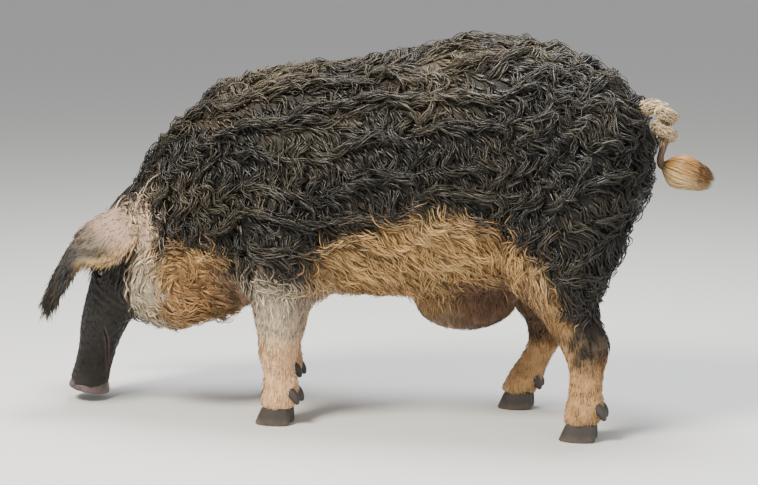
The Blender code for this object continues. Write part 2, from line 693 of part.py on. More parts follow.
def clump(seed, surface, rng, clear_of):
    """One rounded clump of the coat: its path bends in an S over the surface, its root sunk in.

    Each ring's points are set on the surface under them, so the clump follows the body's curve. Returns None
    where the clump would come too near the ears or the tail.
    """
    length = CLUMP_LENGTH * rng.uniform(0.85, 1.15)
    width = CLUMP_WIDTH * rng.uniform(0.88, 1.12)
    swing, phase = rng.uniform(0.35, 0.75) * rng.choice((-1, 1)), rng.uniform(0, math.tau)
    height = (1 - CORE_SHARE) * COAT_DEPTH * rng.uniform(0.85, 1.12)
    steps = 5
    spot, normal, _, _ = surface.find_nearest(Vector(seed))
    spot, normal, _, _ = surface.find_nearest(spot - lie(spot, normal) * length * 0.5)
    path = []
    for i in range(steps):
        path.append((spot, normal))
        way = lie(spot, normal)
        turn = swing * math.sin(math.tau * 0.8 * i / (steps - 1) + phase)
        way = way * math.cos(turn) + normal.cross(way) * math.sin(turn)
        spot, normal, _, _ = surface.find_nearest(spot + way * length / (steps - 1))
    centres = np.array([p for p, _ in path])
    room = np.linalg.norm(clear_of[:, None] - centres, axis=2).min()
    if room < CLUMP_CLEARANCE + width * 0.3:
        return None
    ways = np.gradient(centres, axis=0)
    widths = width / 2 * np.array(CLUMP_WIDTHS)
    heights = height * np.array(CLUMP_HEIGHTS) * coat_share(centres[:-1])
    mesh = bmesh.new()
    rows = []
    for (spot, normal), way, half, high in zip(path, ways, widths, heights):
        across = Vector(way).cross(normal).normalized()
        row = []
        for a, b in CLUMP_SECTION:
            under, out, _, _ = surface.find_nearest(spot + across * a * half)
            out = (out + normal).normalized()
            row.append(mesh.verts.new(under + out * (b * high - CLUMP_SINK)))
        rows.append(row)
    spot, normal = path[-1]
    tip = mesh.verts.new(spot + normal * heights[-1] * 0.35)
    sides = len(CLUMP_SECTION)
    for low, high in zip(rows, rows[1:]):
        for i in range(sides):
            mesh.faces.new((low[i], low[(i + 1) % sides], high[(i + 1) % sides], high[i]))
    for i in range(sides):
        mesh.faces.new((rows[-1][i], rows[-1][(i + 1) % sides], tip))
    mesh.faces.new(rows[0][::-1])
    bmesh.ops.triangulate(mesh, faces=mesh.faces)
    bmesh.ops.recalc_face_normals(mesh, faces=mesh.faces)
    return from_bmesh(mesh, "clump")


def clumps(obj, surface, clear_of):
    """The coat's clumps over obj, evenly spread and close set."""
    rng = np.random.default_rng(SEED)
    made = [clump(seed, surface, rng, clear_of) for seed in seeds(obj, CLUMP_COUNT, rng)]
    return [piece for piece in made if piece]


def tail_path():
    """Points and radii down the tail, from inside the rump through the ringlet to inside the tassel."""
    turns = np.linspace(0, RINGLET_TURNS, 13)
    angle = math.pi + turns * math.tau
    centre_x, centre_y = RINGLET_CENTRE
    x = centre_x + RINGLET_RADIUS * np.cos(angle)
    y = centre_y + RINGLET_RADIUS * np.sin(angle)
    z = np.linspace(RINGLET_TOP, RINGLET_BOTTOM, len(turns))
    ringlet = np.column_stack([x, y, z, np.linspace(0.0125, 0.0090, len(turns))])
    rows = np.vstack([(*TAIL_ROOT, 0.017), TAIL_LEAD, ringlet, TAIL_DROP])
    return rows[:, :3], rows[:, 3]


def tail(rump):
    """The tail with its tassel of flat locks, cut off at the rump."""
    rng = np.random.default_rng(SEED + 1)
    points, radii = tail_path()
    obj = tube(points, radii, 7, "tail")
    way = np.array((TASSEL_TIP - TASSEL_ROOT).normalized())
    reach = (TASSEL_TIP - TASSEL_ROOT).length
    side_way, up_way = np.array((0, 1.0, 0)), np.cross(way, (0, 1.0, 0)) * -1
    middle = TASSEL_ROOT.lerp(TASSEL_TIP, 0.42)
    locks = [ellipsoid("brush", middle, (reach * 0.38, 0.026, 0.028), pitch=21, detail=10)]
    golden_angle = math.pi * (3 - math.sqrt(5))
    for i in range(TASSEL_LOCKS):
        turn = i * golden_angle
        spread = math.sqrt((i + 0.6) / TASSEL_LOCKS) * TASSEL_THICKNESS * 0.5
        out = side_way * math.cos(turn) + up_way * math.sin(turn)
        shares = np.linspace(0, 1, 5)
        bulge = np.sin(np.minimum(shares * 1.6, 1) * math.pi * 0.5) - 0.35 * shares**3
        long = reach * (1.0 - 0.22 * spread / TASSEL_THICKNESS * 2 + rng.uniform(-0.05, 0.05))
        start = np.array(TASSEL_ROOT) + way * 0.004
        centres = start + np.outer(shares * long, way) + np.outer(bulge * spread * 0.72, out)
        centres += np.outer(np.sin(shares * math.pi * 1.5 + turn) * 0.003, np.cross(out, way))
        ups = np.tile(out, (5, 1))
        locks.append(strand(centres, ups, LOCK_WIDTHS, LOCK_HEIGHTS, LOCK_SECTION, "lock"))
    boolean(obj, locks, "UNION", "MANIFOLD")
    return keep_largest(boolean(obj, [inflate(copy_of(rump, "root"), GAP)], "DIFFERENCE", "MANIFOLD"))


def claw(foot, word, side):
    """One of a foot's two main claws, from its flat sole up to the leg."""
    x, y, _ = FEET[foot]
    angles = np.linspace(0, math.tau, 12, endpoint=False)
    rings = []
    for z, shift, length, width in CLAW_RINGS:
        point = 1 - 0.18 * np.maximum(-np.cos(angles), 0)
        ring_x = x + shift + length * np.sign(np.cos(angles)) * np.abs(np.cos(angles)) ** 0.9
        ring_y = y + side * CLAW_SPREAD + width * point * np.sin(angles)
        rings.append(np.column_stack([ring_x, ring_y, np.full(len(angles), z)]))
    return loft(rings, f"claw_{foot}_{word}")


def dewclaw(foot, word, side, leg):
    """One of the two small claws behind the pastern, pointing down and back."""
    x, y, _ = FEET[foot]
    rows = np.array(DEWCLAW_STATIONS)
    points = np.column_stack([x + rows[:, 0], np.full(len(rows), y + side * DEWCLAW_SPREAD), rows[:, 1]])
    obj = tube(points, rows[:, 2], 7, f"dewclaw_{foot}_{word}")
    return keep_largest(boolean(obj, [inflate(copy_of(leg, "root"), GAP)], "DIFFERENCE"))


def leg(foot):
    """A leg from the elbow or stifle down to the top of its claws."""
    kind, word = foot.split("_")
    top = LEG_TOP[kind] - GAP
    heights = np.concatenate([np.linspace(top, 0.085, 8), [0.070, 0.052, LEG_BOTTOM]])
    name = f"{'foreleg' if kind == 'fore' else 'hindleg'}_{word}"
    return limb(foot, name, heights, 13)


def leg_room(foot):
    """The block that takes a leg's lower length out of the body."""
    x, y, _ = FEET[foot]
    top = LEG_TOP[foot.split("_")[0]]
    front, rear = (x + reach for reach in (FORE_ROOM if foot.startswith("fore") else HIND_ROOM))
    outline = [(front, -0.1), (rear, -0.1), (rear, top), (front, top)]
    low, high = sorted((math.copysign(0.062, y), math.copysign(0.35, y)))
    return block(outline, low, high, "leg room")


def finish(obj, colour, roughness):
    """Gives a node its own material and smooth shading."""
    material = bpy.data.materials.new(obj.name)
    material.use_nodes = True
    surface = material.node_tree.nodes["Principled BSDF"]
    surface.inputs["Base Color"].default_value = (*COLOURS[colour], 1)
    surface.inputs["Roughness"].default_value = roughness
    surface.inputs["Metallic"].default_value = 0
    obj.data.materials.clear()
    obj.data.materials.append(material)
    obj.data.shade_smooth()
    obj.data.set_sharp_from_angle(angle=math.radians(50))


def body_core():
    """The trunk with its legs, jowls, hams, shoulders and pouch fused, grown to the coat's core."""
    parts = [trunk("trunk")] + [limb(foot, foot) for foot in FEET]
    parts += masses(HEAD_MASSES) + masses(BODY_MASSES)
    centre, radii, pitch = POUCH
    parts.append(ellipsoid("pouch", centre, radii, pitch))
    return core(parts, "body", BODY_VOXEL, 10, BODY_FACES)


def parted_body(body):
    """Neck, torso and hindquarters, cut from the whole body, with room left for the legs."""
    nodes = {}
    lines = {"neck": ("head", "neck"), "torso": ("neck", "torso"), "hindquarters": ("torso", None)}
    for name, (front, rear) in lines.items():
        nodes[name] = boolean(copy_of(body, name), [between(front, rear, "slab")], "INTERSECT", "MANIFOLD")
    for name, kind in (("torso", "fore"), ("hindquarters", "hind")):
        rooms = [leg_room(f"{kind}_left"), leg_room(f"{kind}_right")]
        boolean(nodes[name], rooms, "DIFFERENCE", "MANIFOLD")
    return nodes


def parted_head(head):
    """The head, and the muzzle cut from it."""
    muzzle = copy_of(head, "muzzle")
    boolean(head, [between(None, "head", "slab")], "INTERSECT", "MANIFOLD")
    boolean(head, [snout_room(0, 1)], "DIFFERENCE", "MANIFOLD")
    boolean(muzzle, [snout_room(GAP, DISC_DEPTH)], "INTERSECT", "MANIFOLD")
    return {"head": head, "muzzle": muzzle}


def feet():
    """The four legs with their claws."""
    for foot in FEET:
        made = leg(foot)
        for word, side in (("inner", -1), ("outer", 1)):
            away = side * math.copysign(1, FEET[foot][1])
            finish(keep_largest(claw(foot, word, away)), "claw", 0.45)
            finish(dewclaw(foot, word, away, made), "claw", 0.45)
        finish(keep_largest(made), "leg skin", 0.70)


def main():
    for obj in list(bpy.data.objects):
        bpy.data.objects.remove(obj)
    head = head_core()
    surface = tree_of(head)
    frames = eye_frames(surface)
    root = copy_of(head, "head root")
    body = body_core()
    rump = copy_of(body, "rump root")

    ear_points = [ear_grid(word, surface)[0][1:].reshape(-1, 3) for word in ("left", "right")]
    clear_of = np.vstack([*ear_points, tail_path()[0][2:]])
    coat = clumps(body, tree_of(body), clear_of)
    front_coat = [copy_of(piece, "clump") for piece in coat
                  if any(p[0] < parting_x("head", p[2]) for p in points_of(piece))]
    boolean(body, coat, "UNION", "MANIFOLD")
    nodes = parted_body(body)
    nodes.update(parted_head(detailed_head(head, frames, surface, front_coat)))
    for name, node in nodes.items():
        finish(keep_largest(node), "dark face" if name in ("head", "muzzle") else "black coat", 0.75)

    finish(keep_largest(snout_disc()), "snout skin", 0.55)
    for word, (centre, _, _) in frames.items():
        finish(ear(word, surface, root), "ear skin", 0.70)
        finish(keep_largest(ellipsoid(f"eye_{word}", centre, [EYE_RADIUS] * 3, detail=12)), "eye", 0.08)
    finish(tail(rump), "tail hair", 0.65)
    for helper in (root, rump, body):
        bpy.data.objects.remove(helper)
    feet()

    pig = bpy.data.collections.new("mangalica_pig")
    bpy.context.scene.collection.children.link(pig)
    for obj in list(bpy.context.scene.collection.objects):
        bpy.context.scene.collection.objects.unlink(obj)
        pig.objects.link(obj)


main()
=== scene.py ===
"""Looks of the mangalica pig model: one skin with short fur, a curly coat, ears, eyes, snout, tail and claws.

Metres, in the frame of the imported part: +Z up, the pig faces -X and its left side is at -Y.
"""

import math

import bmesh
import bpy
import numpy as np
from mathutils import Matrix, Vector


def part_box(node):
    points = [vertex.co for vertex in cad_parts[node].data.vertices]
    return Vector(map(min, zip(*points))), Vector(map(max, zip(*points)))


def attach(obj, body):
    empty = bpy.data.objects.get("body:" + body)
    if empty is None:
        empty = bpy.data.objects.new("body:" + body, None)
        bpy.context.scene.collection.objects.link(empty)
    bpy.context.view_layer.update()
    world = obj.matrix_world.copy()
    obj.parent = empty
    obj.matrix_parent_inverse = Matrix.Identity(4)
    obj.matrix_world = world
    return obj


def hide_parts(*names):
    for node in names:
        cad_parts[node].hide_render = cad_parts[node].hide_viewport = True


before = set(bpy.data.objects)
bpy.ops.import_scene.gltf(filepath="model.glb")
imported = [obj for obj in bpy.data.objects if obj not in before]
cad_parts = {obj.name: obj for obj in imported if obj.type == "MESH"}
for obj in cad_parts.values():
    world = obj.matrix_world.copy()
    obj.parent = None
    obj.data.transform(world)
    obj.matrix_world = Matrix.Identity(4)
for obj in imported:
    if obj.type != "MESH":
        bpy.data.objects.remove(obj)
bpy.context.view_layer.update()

# The body's own sizes, as the solids have them.
HIP_HEIGHT = 0.829
BODY_WIDTH = 0.43
COAT_DEPTH = 0.028
CORE_SHARE = 0.45

# The trunk from rump to snout, out to the coat's tips. Each station has the outline's top and bottom points
# (x, z) in the side view, its half width as a share of the body's width, and how high up it is widest.
TRUNK = {
    "tail end": ((0.562, 0.601), (0.562, 0.546), 0.06, 0.50),
    "buttock": ((0.554, 0.661), (0.548, 0.470), 0.24, 0.50),
    "pin bones": ((0.526, 0.712), (0.506, 0.388), 0.37, 0.50),
    "croup": ((0.466, 0.767), (0.444, 0.322), 0.44, 0.50),
    "rump": ((0.370, 0.807), (0.370, 0.296), 0.485, 0.50),
    "hips": ((0.250, HIP_HEIGHT), (0.260, 0.276), 0.50, 0.50),
    "loin": ((0.120, 0.812), (0.140, 0.264), 0.505, 0.47),
    "ribs": ((0.000, 0.788), (0.000, 0.262), 0.50, 0.46),
    "girth": ((-0.120, 0.773), (-0.130, 0.260), 0.485, 0.47),
    "withers": ((-0.240, 0.758), (-0.230, 0.250), 0.46, 0.48),
    "neck root": ((-0.340, 0.724), (-0.290, 0.228), 0.43, 0.46),
    "neck": ((-0.430, 0.652), (-0.340, 0.197), 0.405, 0.44),
    "crest": ((-0.505, 0.566), (-0.385, 0.175), 0.38, 0.42),
    "nape": ((-0.563, 0.493), (-0.430, 0.164), 0.345, 0.42),
    "poll": ((-0.602, 0.433), (-0.470, 0.165), 0.295, 0.42),
    "forehead": ((-0.622, 0.374), (-0.504, 0.178), 0.245, 0.50),
    "eyes": ((-0.637, 0.311), (-0.536, 0.176), 0.205, 0.58),
    "cheeks": ((-0.656, 0.248), (-0.562, 0.167), 0.172, 0.55),
    "snout root": ((-0.676, 0.186), (-0.585, 0.140), 0.140, 0.52),
    "snout": ((-0.690, 0.121), (-0.606, 0.096), 0.120, 0.50),
    "snout end": ((-0.700, 0.064), (-0.620, 0.046), 0.110, 0.50),
    "disc rim": ((-0.706, 0.034), (-0.626, 0.016), 0.112, 0.50),
}
TRUNK_SQUARENESS = 2.25

# A foreleg and a hind leg, from inside the trunk down to the claws. Each ring has its centre's x from the
# foot, its height, and its half length and half width.
FORE_LIMB = (
    (0.030, 0.550, 0.115, 0.070),
    (0.020, 0.440, 0.120, 0.088),
    (0.012, 0.360, 0.098, 0.080),
    (0.008, 0.285, 0.072, 0.060),
    (0.004, 0.230, 0.055, 0.047),
    (0.000, 0.185, 0.043, 0.039),
    (-0.002, 0.155, 0.041, 0.038),
    (0.000, 0.118, 0.033, 0.032),
    (0.004, 0.074, 0.038, 0.037),
    (-0.003, 0.034, 0.036, 0.040),
)
HIND_LIMB = (
    (-0.060, 0.590, 0.135, 0.080),
    (-0.055, 0.490, 0.135, 0.098),
    (-0.055, 0.390, 0.112, 0.090),
    (-0.052, 0.315, 0.078, 0.070),
    (-0.034, 0.258, 0.058, 0.054),
    (-0.012, 0.222, 0.056, 0.044),
    (0.002, 0.192, 0.049, 0.038),
    (0.006, 0.150, 0.036, 0.032),
    (0.004, 0.108, 0.033, 0.031),
    (0.003, 0.070, 0.038, 0.037),
    (-0.005, 0.034, 0.037, 0.040),
)
# Each foot's x and y, and how far the leg's middle is carried back from over the foot.
FEET = {
    "fore_left": (-0.187, -0.130, 0.0),
    "fore_right": (-0.252, 0.130, 0.015),
    "hind_left": (0.458, -0.130, 0.0),
    "hind_right": (0.288, 0.130, 0.060),
}
LEG_BOTTOM = 0.034

# Rounded masses on the trunk, for each side: centre, radii, and the turns about Y and X in degrees.
MASSES = {
    "jowl": ((-0.448, 0.078, 0.264), (0.108, 0.070, 0.066), 8, 12),
    "brow": ((-0.600, 0.052, 0.331), (0.024, 0.026, 0.034), 0, 0),
    "ham": ((0.398, 0.100, 0.476), (0.116, 0.085, 0.180), -4, 0),
    "shoulder": ((-0.165, 0.105, 0.446), (0.120, 0.080, 0.190), -14, 0),
    "pouch": ((0.190, 0.0, 0.264), (0.112, 0.058, 0.068), -5, 0),
}

# The head's own frame: the poll, the way from it down the face to the snout, and the way to the throat.
POLL = np.array((-0.602, 0, 0.433))
FACE_WAY = np.array((-0.2195, 0, -0.9756))
THROAT_WAY = np.array((0.9756, 0, -0.2195))
SIDE_WAY = np.array((0, 1.0, 0))
DISC_CENTRE = np.array((-0.666, 0, 0.025))
DISC_HEIGHT = 0.086
DISC_WIDTH = 0.098
DISC_DEPTH = 0.015
NOSTRIL_SPREAD = 0.0185
EYE_RADIUS = 0.0125
MOUTH_FRONT = 0.372
MOUTH_CORNER = 0.262
MOUTH_HALF_TURN = math.radians(78)

# An ear: its base line on the head from front to rear, its tip, and the way its width lies in the outer half.
# Each station has its share of the length, its width, and how far its middle is moved along the base line.
EAR_BASE = ((-0.588, 0.064, 0.442), (-0.485, 0.125, 0.376))
EAR_TIP = (-0.690, 0.158, 0.246)
EAR_TURNED = (0.35, 0.80, -0.45)
EAR_STATIONS = (
    (-0.08, 0.096, 0.000),
    (0.00, 0.118, 0.000),
    (0.18, 0.122, -0.004),
    (0.34, 0.108, -0.007),
    (0.48, 0.088, -0.020),
    (0.66, 0.074, -0.012),
    (0.85, 0.066, -0.004),
    (0.95, 0.042, 0.000),
    (1.00, 0.012, 0.000),
)
EAR_THICKNESS = (0.0065, 0.0024)
EAR_CUP = 0.036
EAR_ARCH = 0.022

# The tail: its root, a hanging ringlet, a thin length down, and the tassel of long hair.
TAIL_ROOT = (0.540, 0, 0.664, 0.0170)
TAIL_LEAD = (0.568, 0.002, 0.673, 0.0145)
RINGLET_CENTRE = (0.600, 0.0)
RINGLET_RADIUS = 0.0125
RINGLET_TURNS = 1.75
RINGLET_TOP, RINGLET_BOTTOM = 0.672, 0.608
TAIL_DROP = (
    (0.598, 0.002, 0.590, 0.0080),
    (0.593, 0.000, 0.572, 0.0080),
    (0.596, 0.000, 0.555, 0.0100),
    (0.622, 0.000, 0.545, 0.0130),
)
TASSEL_ROOT = np.array((0.596, 0, 0.555))
TASSEL_TIP = np.array((0.702, 0, 0.516))
TASSEL_THICKNESS = 0.078

# Colours of hair and skin, as linear shares of red, green and blue.
BLACK_HAIR = (0.0090, 0.0079, 0.0058)
BROWN_HAIR = (0.096, 0.075, 0.043)
# Grey hair; laid along the back and on the rump it is painted sheen.
GREY_HAIR_AND_SHEEN = (0.150, 0.143, 0.122)
GOLD_HAIR = (0.460, 0.262, 0.090)
PALE_HAIR = (0.620, 0.450, 0.220)
RUST_HAIR = (0.250, 0.115, 0.038)
WHITE_HAIR = (0.560, 0.490, 0.375)
PEACH_HAIR = (0.800, 0.520, 0.290)
CREAM_HAIR = (0.600, 0.485, 0.325)
SHOULDER_HAIR = (0.680, 0.570, 0.410)
OLIVE_HAIR = (0.075, 0.050, 0.026)
LEG_DARK_HAIR = (0.040, 0.032, 0.021)
# The pouch's hairs: their own dark rust, darkened further as painted shadow under the belly.
SHADED_POUCH_HAIR = (0.085, 0.044, 0.026)
SHADED_POUCH_THIN_HAIR = (0.095, 0.046, 0.024)
THIN_HAIR = (0.150, 0.082, 0.046)
DARK_SKIN = (0.016, 0.013, 0.011)
PINK_SKIN = (0.255, 0.115, 0.074)
PEACH_SKIN = (0.600, 0.350, 0.195)
PATCH_SKIN = (0.42, 0.30, 0.24)
LIP_SKIN = (0.110, 0.070, 0.058)
MOUTH_SKIN = (0.006, 0.004, 0.004)
# A dimming colour for the leg skin: painted shade of the hair over it.
LEG_SKIN_SHADE = (0.72, 0.65, 0.58)
EAR_ROOT = (0.262, 0.165, 0.115)
EAR_MIDDLE = (0.085, 0.062, 0.038)
EAR_END = (0.012, 0.011, 0.009)
EAR_INSIDE = (0.160, 0.090, 0.065)
EAR_INSIDE_END = (0.030, 0.024, 0.020)
EAR_RIM = (0.420, 0.270, 0.120)
EAR_PALE_HAIR = (0.46, 0.375, 0.275)
EAR_BROWN_HAIR = (0.085, 0.060, 0.036)
TAIL_SKIN = (0.400, 0.300, 0.200)
TAIL_DARK_SKIN = (0.130, 0.085, 0.055)
TAIL_PALE_HAIR = (0.62, 0.50, 0.33)
TAIL_TAN_HAIR = (0.50, 0.36, 0.20)
TAIL_DARK_HAIR = (0.17, 0.105, 0.062)
# The tassel's gold hair, paler on top and darker below: painted light and painted shade.
TASSEL_SHADED_LOW_HAIR = (0.50, 0.275, 0.085)
TASSEL_LIT_TOP_HAIR = (0.78, 0.56, 0.280)
TASSEL_RUST_HAIR = (0.26, 0.135, 0.055)
TASSEL_DARK_HAIR = (0.20, 0.100, 0.040)


# Arrays and shapes

def unit(rows):
    """Vectors along the last axis, each with length one."""
    return rows / np.maximum(np.linalg.norm(rows, axis=-1, keepdims=True), 1e-9)


def smooth_step(low, high, value):
    """0 up to low, 1 past high, and an even S between: 3 t squared less 2 t cubed."""
    t = np.clip((value - low) / (high - low), 0, 1)
    return t * t * (3 - 2 * t)


def hump(middle, width, value):
    """1 at the middle, falling away on both sides as a bell curve of that width."""
    return np.exp(-((value - middle) / width) ** 2)


def rounded_off(value, power):
    """A sine or cosine with its sign kept and its size raised to a power, for superellipses."""
    return np.sign(value) * np.abs(value) ** power


def angles_round(count):
    """So many equal steps once round."""
    return np.linspace(0, math.tau, count, endpoint=False)


def turned(ways, normals, angles):
    """Ways turned about the normals by an angle each."""
    angles = angles[..., None]
    return unit(ways * np.cos(angles) + np.cross(normals, ways) * np.sin(angles))


def mix(first, second, share):
    """From first to second by a share for each row."""
    share = np.asarray(share)[..., None]
    return np.asarray(first) * (1 - share) + np.asarray(second) * share


def waves(points, size, seed, count=9):
    """Smooth noise about 0 to about 1 high: the sum of sine waves in seeded directions, size metres long."""
    rng = np.random.default_rng(seed)
    ways = unit(rng.normal(size=(count, 3))) * (math.tau / size * rng.uniform(0.6, 1.5, (count, 1)))
    return np.sin(points @ ways.T + rng.uniform(0, math.tau, count)).sum(-1) / math.sqrt(count)


def spline(keys, count):
    """Rows of numbers on a smooth curve through the keys: a Catmull-Rom spline with even steps."""
    keys = np.array(keys, float)
    padded = np.vstack([2 * keys[0] - keys[1], keys, 2 * keys[-1] - keys[-2]])
    at = np.linspace(0, len(keys) - 1, count)
    cell = np.minimum(at.astype(int), len(keys) - 2)
    t = (at - cell)[:, None]
    a, b, c, d = (padded[cell + i] for i in range(4))
    return 0.5 * (2 * b + (c - a) * t + (2 * a - 5 * b + 4 * c - d) * t**2 + (3 * b - a - 3 * c + d) * t**3)


def grid_faces(rows, columns, closed):
    """Quads of a grid of points, row by row; closed joins the end of each row to its start."""
    i, j = np.meshgrid(np.arange(rows - 1), np.arange(columns if closed else columns - 1), indexing="ij")
    k = (j + 1) % columns
    corners = [i * columns + j, i * columns + k, (i + 1) * columns + k, (i + 1) * columns + j]
    return np.stack(corners, -1).reshape(-1, 4)


def lofted(rings):
    """Points and faces of a closed form through rings (rows, round, 3), its ends closed to their middles."""
    rows, count = rings.shape[:2]
    points = np.vstack([rings.reshape(-1, 3), rings[0].mean(0), rings[-1].mean(0)])
    j = np.arange(count)
    k = (j + 1) % count
    last = (rows - 1) * count
    low = np.stack([k, j, np.full(count, rows * count)], 1)
    high = np.stack([last + j, last + k, np.full(count, rows * count + 1)], 1)
    return points, [grid_faces(rows, count, True), low, high]


def add_mesh(name, points, faces, material=None):
    """A smooth-shaded mesh object from an array of points and one or more arrays of faces."""
    corners = np.concatenate([group.ravel() for group in faces])
    sizes = np.concatenate([np.full(len(group), group.shape[1]) for group in faces])
    data = bpy.data.meshes.new(name)
    data.vertices.add(len(points))
    data.vertices.foreach_set("co", np.ascontiguousarray(points, np.float32).ravel())
    data.loops.add(len(corners))
    data.loops.foreach_set("vertex_index", corners.astype(np.int32))
    data.polygons.add(len(sizes))
    data.polygons.foreach_set("loop_start", (np.cumsum(sizes) - sizes).astype(np.int32))
    data.update(calc_edges=True)
    data.shade_smooth()
    if material:
        data.materials.append(material)
    return linked(name, data)


def point_values(obj, name, values):
    """Keeps a number, or a colour of four numbers, for each point of obj, for its material to read."""
    values = np.asarray(values, np.float32)
    kind, field = ("FLOAT", "value") if values.ndim == 1 else ("FLOAT_COLOR", "color")
    attribute = obj.data.attributes.new(name, kind, "POINT")
    attribute.data.foreach_set(field, values.ravel())


def with_alpha(colours):
    """Colours with a fourth number, 1, as colour attributes have."""
    return np.concatenate([colours, np.ones(colours.shape[:-1] + (1,))], -1)


def vectors_of(items, field):
    """A vector field of a mesh's items as rows."""
    found = np.empty(len(items) * 3, np.float32)
    items.foreach_get(field, found)
    return found.reshape(-1, 3).astype(float)


def points_of(obj):
    """Where the object's points are."""
    return vectors_of(obj.data.vertices, "co")


def normals_of(obj):
    """The way out of the surface at each of the object's points."""
    return vectors_of(obj.data.vertex_normals, "vector")


def linked(name, data):
    """A new object for some data, in the scene."""
    obj = bpy.data.objects.new(name, data)
    bpy.context.scene.collection.objects.link(obj)
    return obj


def move_points(obj, points):
    """Sets where the object's points are."""
    obj.data.vertices.foreach_set("co", points.astype(np.float32).ravel())
    obj.data.update()


def applied(obj):
    """The object with its modifiers made part of its mesh."""
    graph = bpy.context.evaluated_depsgraph_get()
    made = bpy.data.meshes.new_from_object(obj.evaluated_get(graph))
    obj.modifiers.clear()
    old = obj.data
    obj.data = made
    bpy.data.meshes.remove(old)
    return obj


def joined(objects, name):
    """The objects' meshes as one new object."""
    mesh = bmesh.new()
    for obj in objects:
        mesh.from_mesh(obj.data)
        bpy.data.objects.remove(obj)
    data = bpy.data.meshes.new(name)
    mesh.to_mesh(data)
    mesh.free()
    return linked(name, data)


def outward(obj):
    """Turns the faces of a closed shape to the outside."""
    mesh = bmesh.new()
    mesh.from_mesh(obj.data)
    bmesh.ops.recalc_face_normals(mesh, faces=mesh.faces)
    mesh.to_mesh(obj.data)
    mesh.free()
    return obj


def settled(points, surface, lift=0.0):
    """Points brought to the nearest place on a surface, or to a height above it."""
    shape = points.shape
    cloud = bpy.data.meshes.new("cloud")
    flat = np.ascontiguousarray(points.reshape(-1, 3), np.float32)
    cloud.vertices.add(len(flat))
    cloud.vertices.foreach_set("co", flat.ravel())
    obj = linked("cloud", cloud)
    wrap = obj.modifiers.new("wrap", "SHRINKWRAP")
    wrap.target = surface
    wrap.wrap_mode = "ABOVE_SURFACE"
    wrap.offset = lift
    found = points_of(applied(obj)).reshape(shape)
    bpy.data.objects.remove(obj)
    return found


def on_surface(points, surface):
    """The nearest places on a surface and the way out of it there."""
    probe = 0.004
    spots = settled(points, surface)
    return spots, unit(settled(spots, surface, probe) - spots)


def tube_rings(path, radii, count):
    """Rings across a path, each a circle in the plane square to the path there."""
    path = np.asarray(path, float)
    ways = unit(np.gradient(path, axis=0))
    across = unit(np.cross(ways, (0.3, 0.9, 0.2)))
    up = np.cross(ways, across)
    turn = angles_round(count)[None, :, None]
    flat = np.cos(turn) * across[:, None] + np.sin(turn) * up[:, None]
    return path[:, None] + flat * np.reshape(radii, (-1, 1, 1))


# The body's form

def coat_share(points):
    """The coat's depth at points as a share of its full depth: thin on the face, lower legs and pouch."""
    x, z = points[..., 0], points[..., 2]
    shaggy = smooth_step(-0.600, -0.535, x)
    front = smooth_step(-0.31, -0.36, x)
    lifted = np.maximum(smooth_step(0.22, 0.36, z), front)
    cheek = smooth_step(-0.36, -0.46, x) * smooth_step(0.44, 0.34, z)
    return 0.10 + 0.90 * shaggy * lifted * (1 - 0.35 * cheek)


def trunk_rings():
    """Superellipses across the trunk, set inside the outline by the coat's depth: |x|^n + |y|^n = 1."""
    keys = [(*top, *bottom, share * BODY_WIDTH, level) for top, bottom, share, level in TRUNK.values()]
    rows = spline(keys, 6 * len(keys))
    turn = angles_round(72)
    side = rounded_off(np.cos(turn), 2 / TRUNK_SQUARENESS)
    up = rounded_off(np.sin(turn), 2 / TRUNK_SQUARENESS)[None, :, None]
    top, bottom, half, level = rows[:, 0:2], rows[:, 2:4], rows[:, 4], rows[:, 5:6]
    middle = bottom + level * (top - bottom)
    reach = np.where(up > 0, (top - middle)[:, None], (middle - bottom)[:, None])
    flat = middle[:, None] + up * reach
    rings = np.stack([flat[..., 0], half[:, None] * side, flat[..., 1]], -1)
    centre = np.stack([middle[:, 0], np.zeros(len(middle)), middle[:, 1]], -1)[:, None]
    outward_way = rings - centre
    length = np.linalg.norm(outward_way, axis=-1)
    depth = np.minimum(coat_share(rings) * COAT_DEPTH, length * 0.6)
    return rings - unit(outward_way) * depth[..., None]


def limb_rings(foot):
    """Ellipses down a leg, from inside the trunk to the claws."""
    x, y, carried = FEET[foot]
    rows = spline(FORE_LIMB if foot.startswith("fore") else HIND_LIMB, 90)
    joint_height = 0.20
    bend = smooth_step(LEG_BOTTOM, joint_height, rows[:, 1]) * carried
    bend -= smooth_step(joint_height, 0.50, rows[:, 1]) * carried * 0.4
    inward = -math.copysign(1, y) * 0.035 * smooth_step(0.25, 0.60, rows[:, 1])
    turn = angles_round(40)
    ring_x = (x + rows[:, 0] + bend)[:, None] + rows[:, 2:3] * np.cos(turn)
    ring_y = (y + inward)[:, None] + rows[:, 3:4] * np.sin(turn)
    return np.stack([ring_x, ring_y, np.broadcast_to(rows[:, 1:2], ring_x.shape)], -1)


def ball(centre, radii, pitch, roll):
    """Points and faces of a stretched ball, turned about Y and X, by a half circle's sines and cosines."""
    tilt = np.linspace(0.04, math.pi - 0.04, 24)[:, None]
    turn = angles_round(40)[None]
    shape = np.stack([np.sin(tilt) * np.cos(turn), np.sin(tilt) * np.sin(turn),
                      -np.cos(tilt) * np.ones_like(turn)], -1) * radii
    p, r = math.radians(pitch), math.radians(roll)
    about_y = np.array([[math.cos(p), 0, math.sin(p)], [0, 1, 0], [-math.sin(p), 0, math.cos(p)]])
    about_x = np.array([[1, 0, 0], [0, math.cos(r), -math.sin(r)], [0, math.sin(r), math.cos(r)]])
    return lofted(shape @ (about_x @ about_y).T + centre)


# The skin's first mesh size, and the x in front of which it is made finer.
SKIN_VOXEL = 0.0080
HEAD_FRONT = -0.500
FACE_FRONT = HEAD_FRONT - 0.075


def softened(obj, iterations, where=""):
    """A smoothing modifier on the whole of obj or on a vertex group's points."""
    soften = obj.modifiers.new("soften", "SMOOTH")
    soften.factor = 0.5
    soften.iterations = iterations
    soften.vertex_group = where


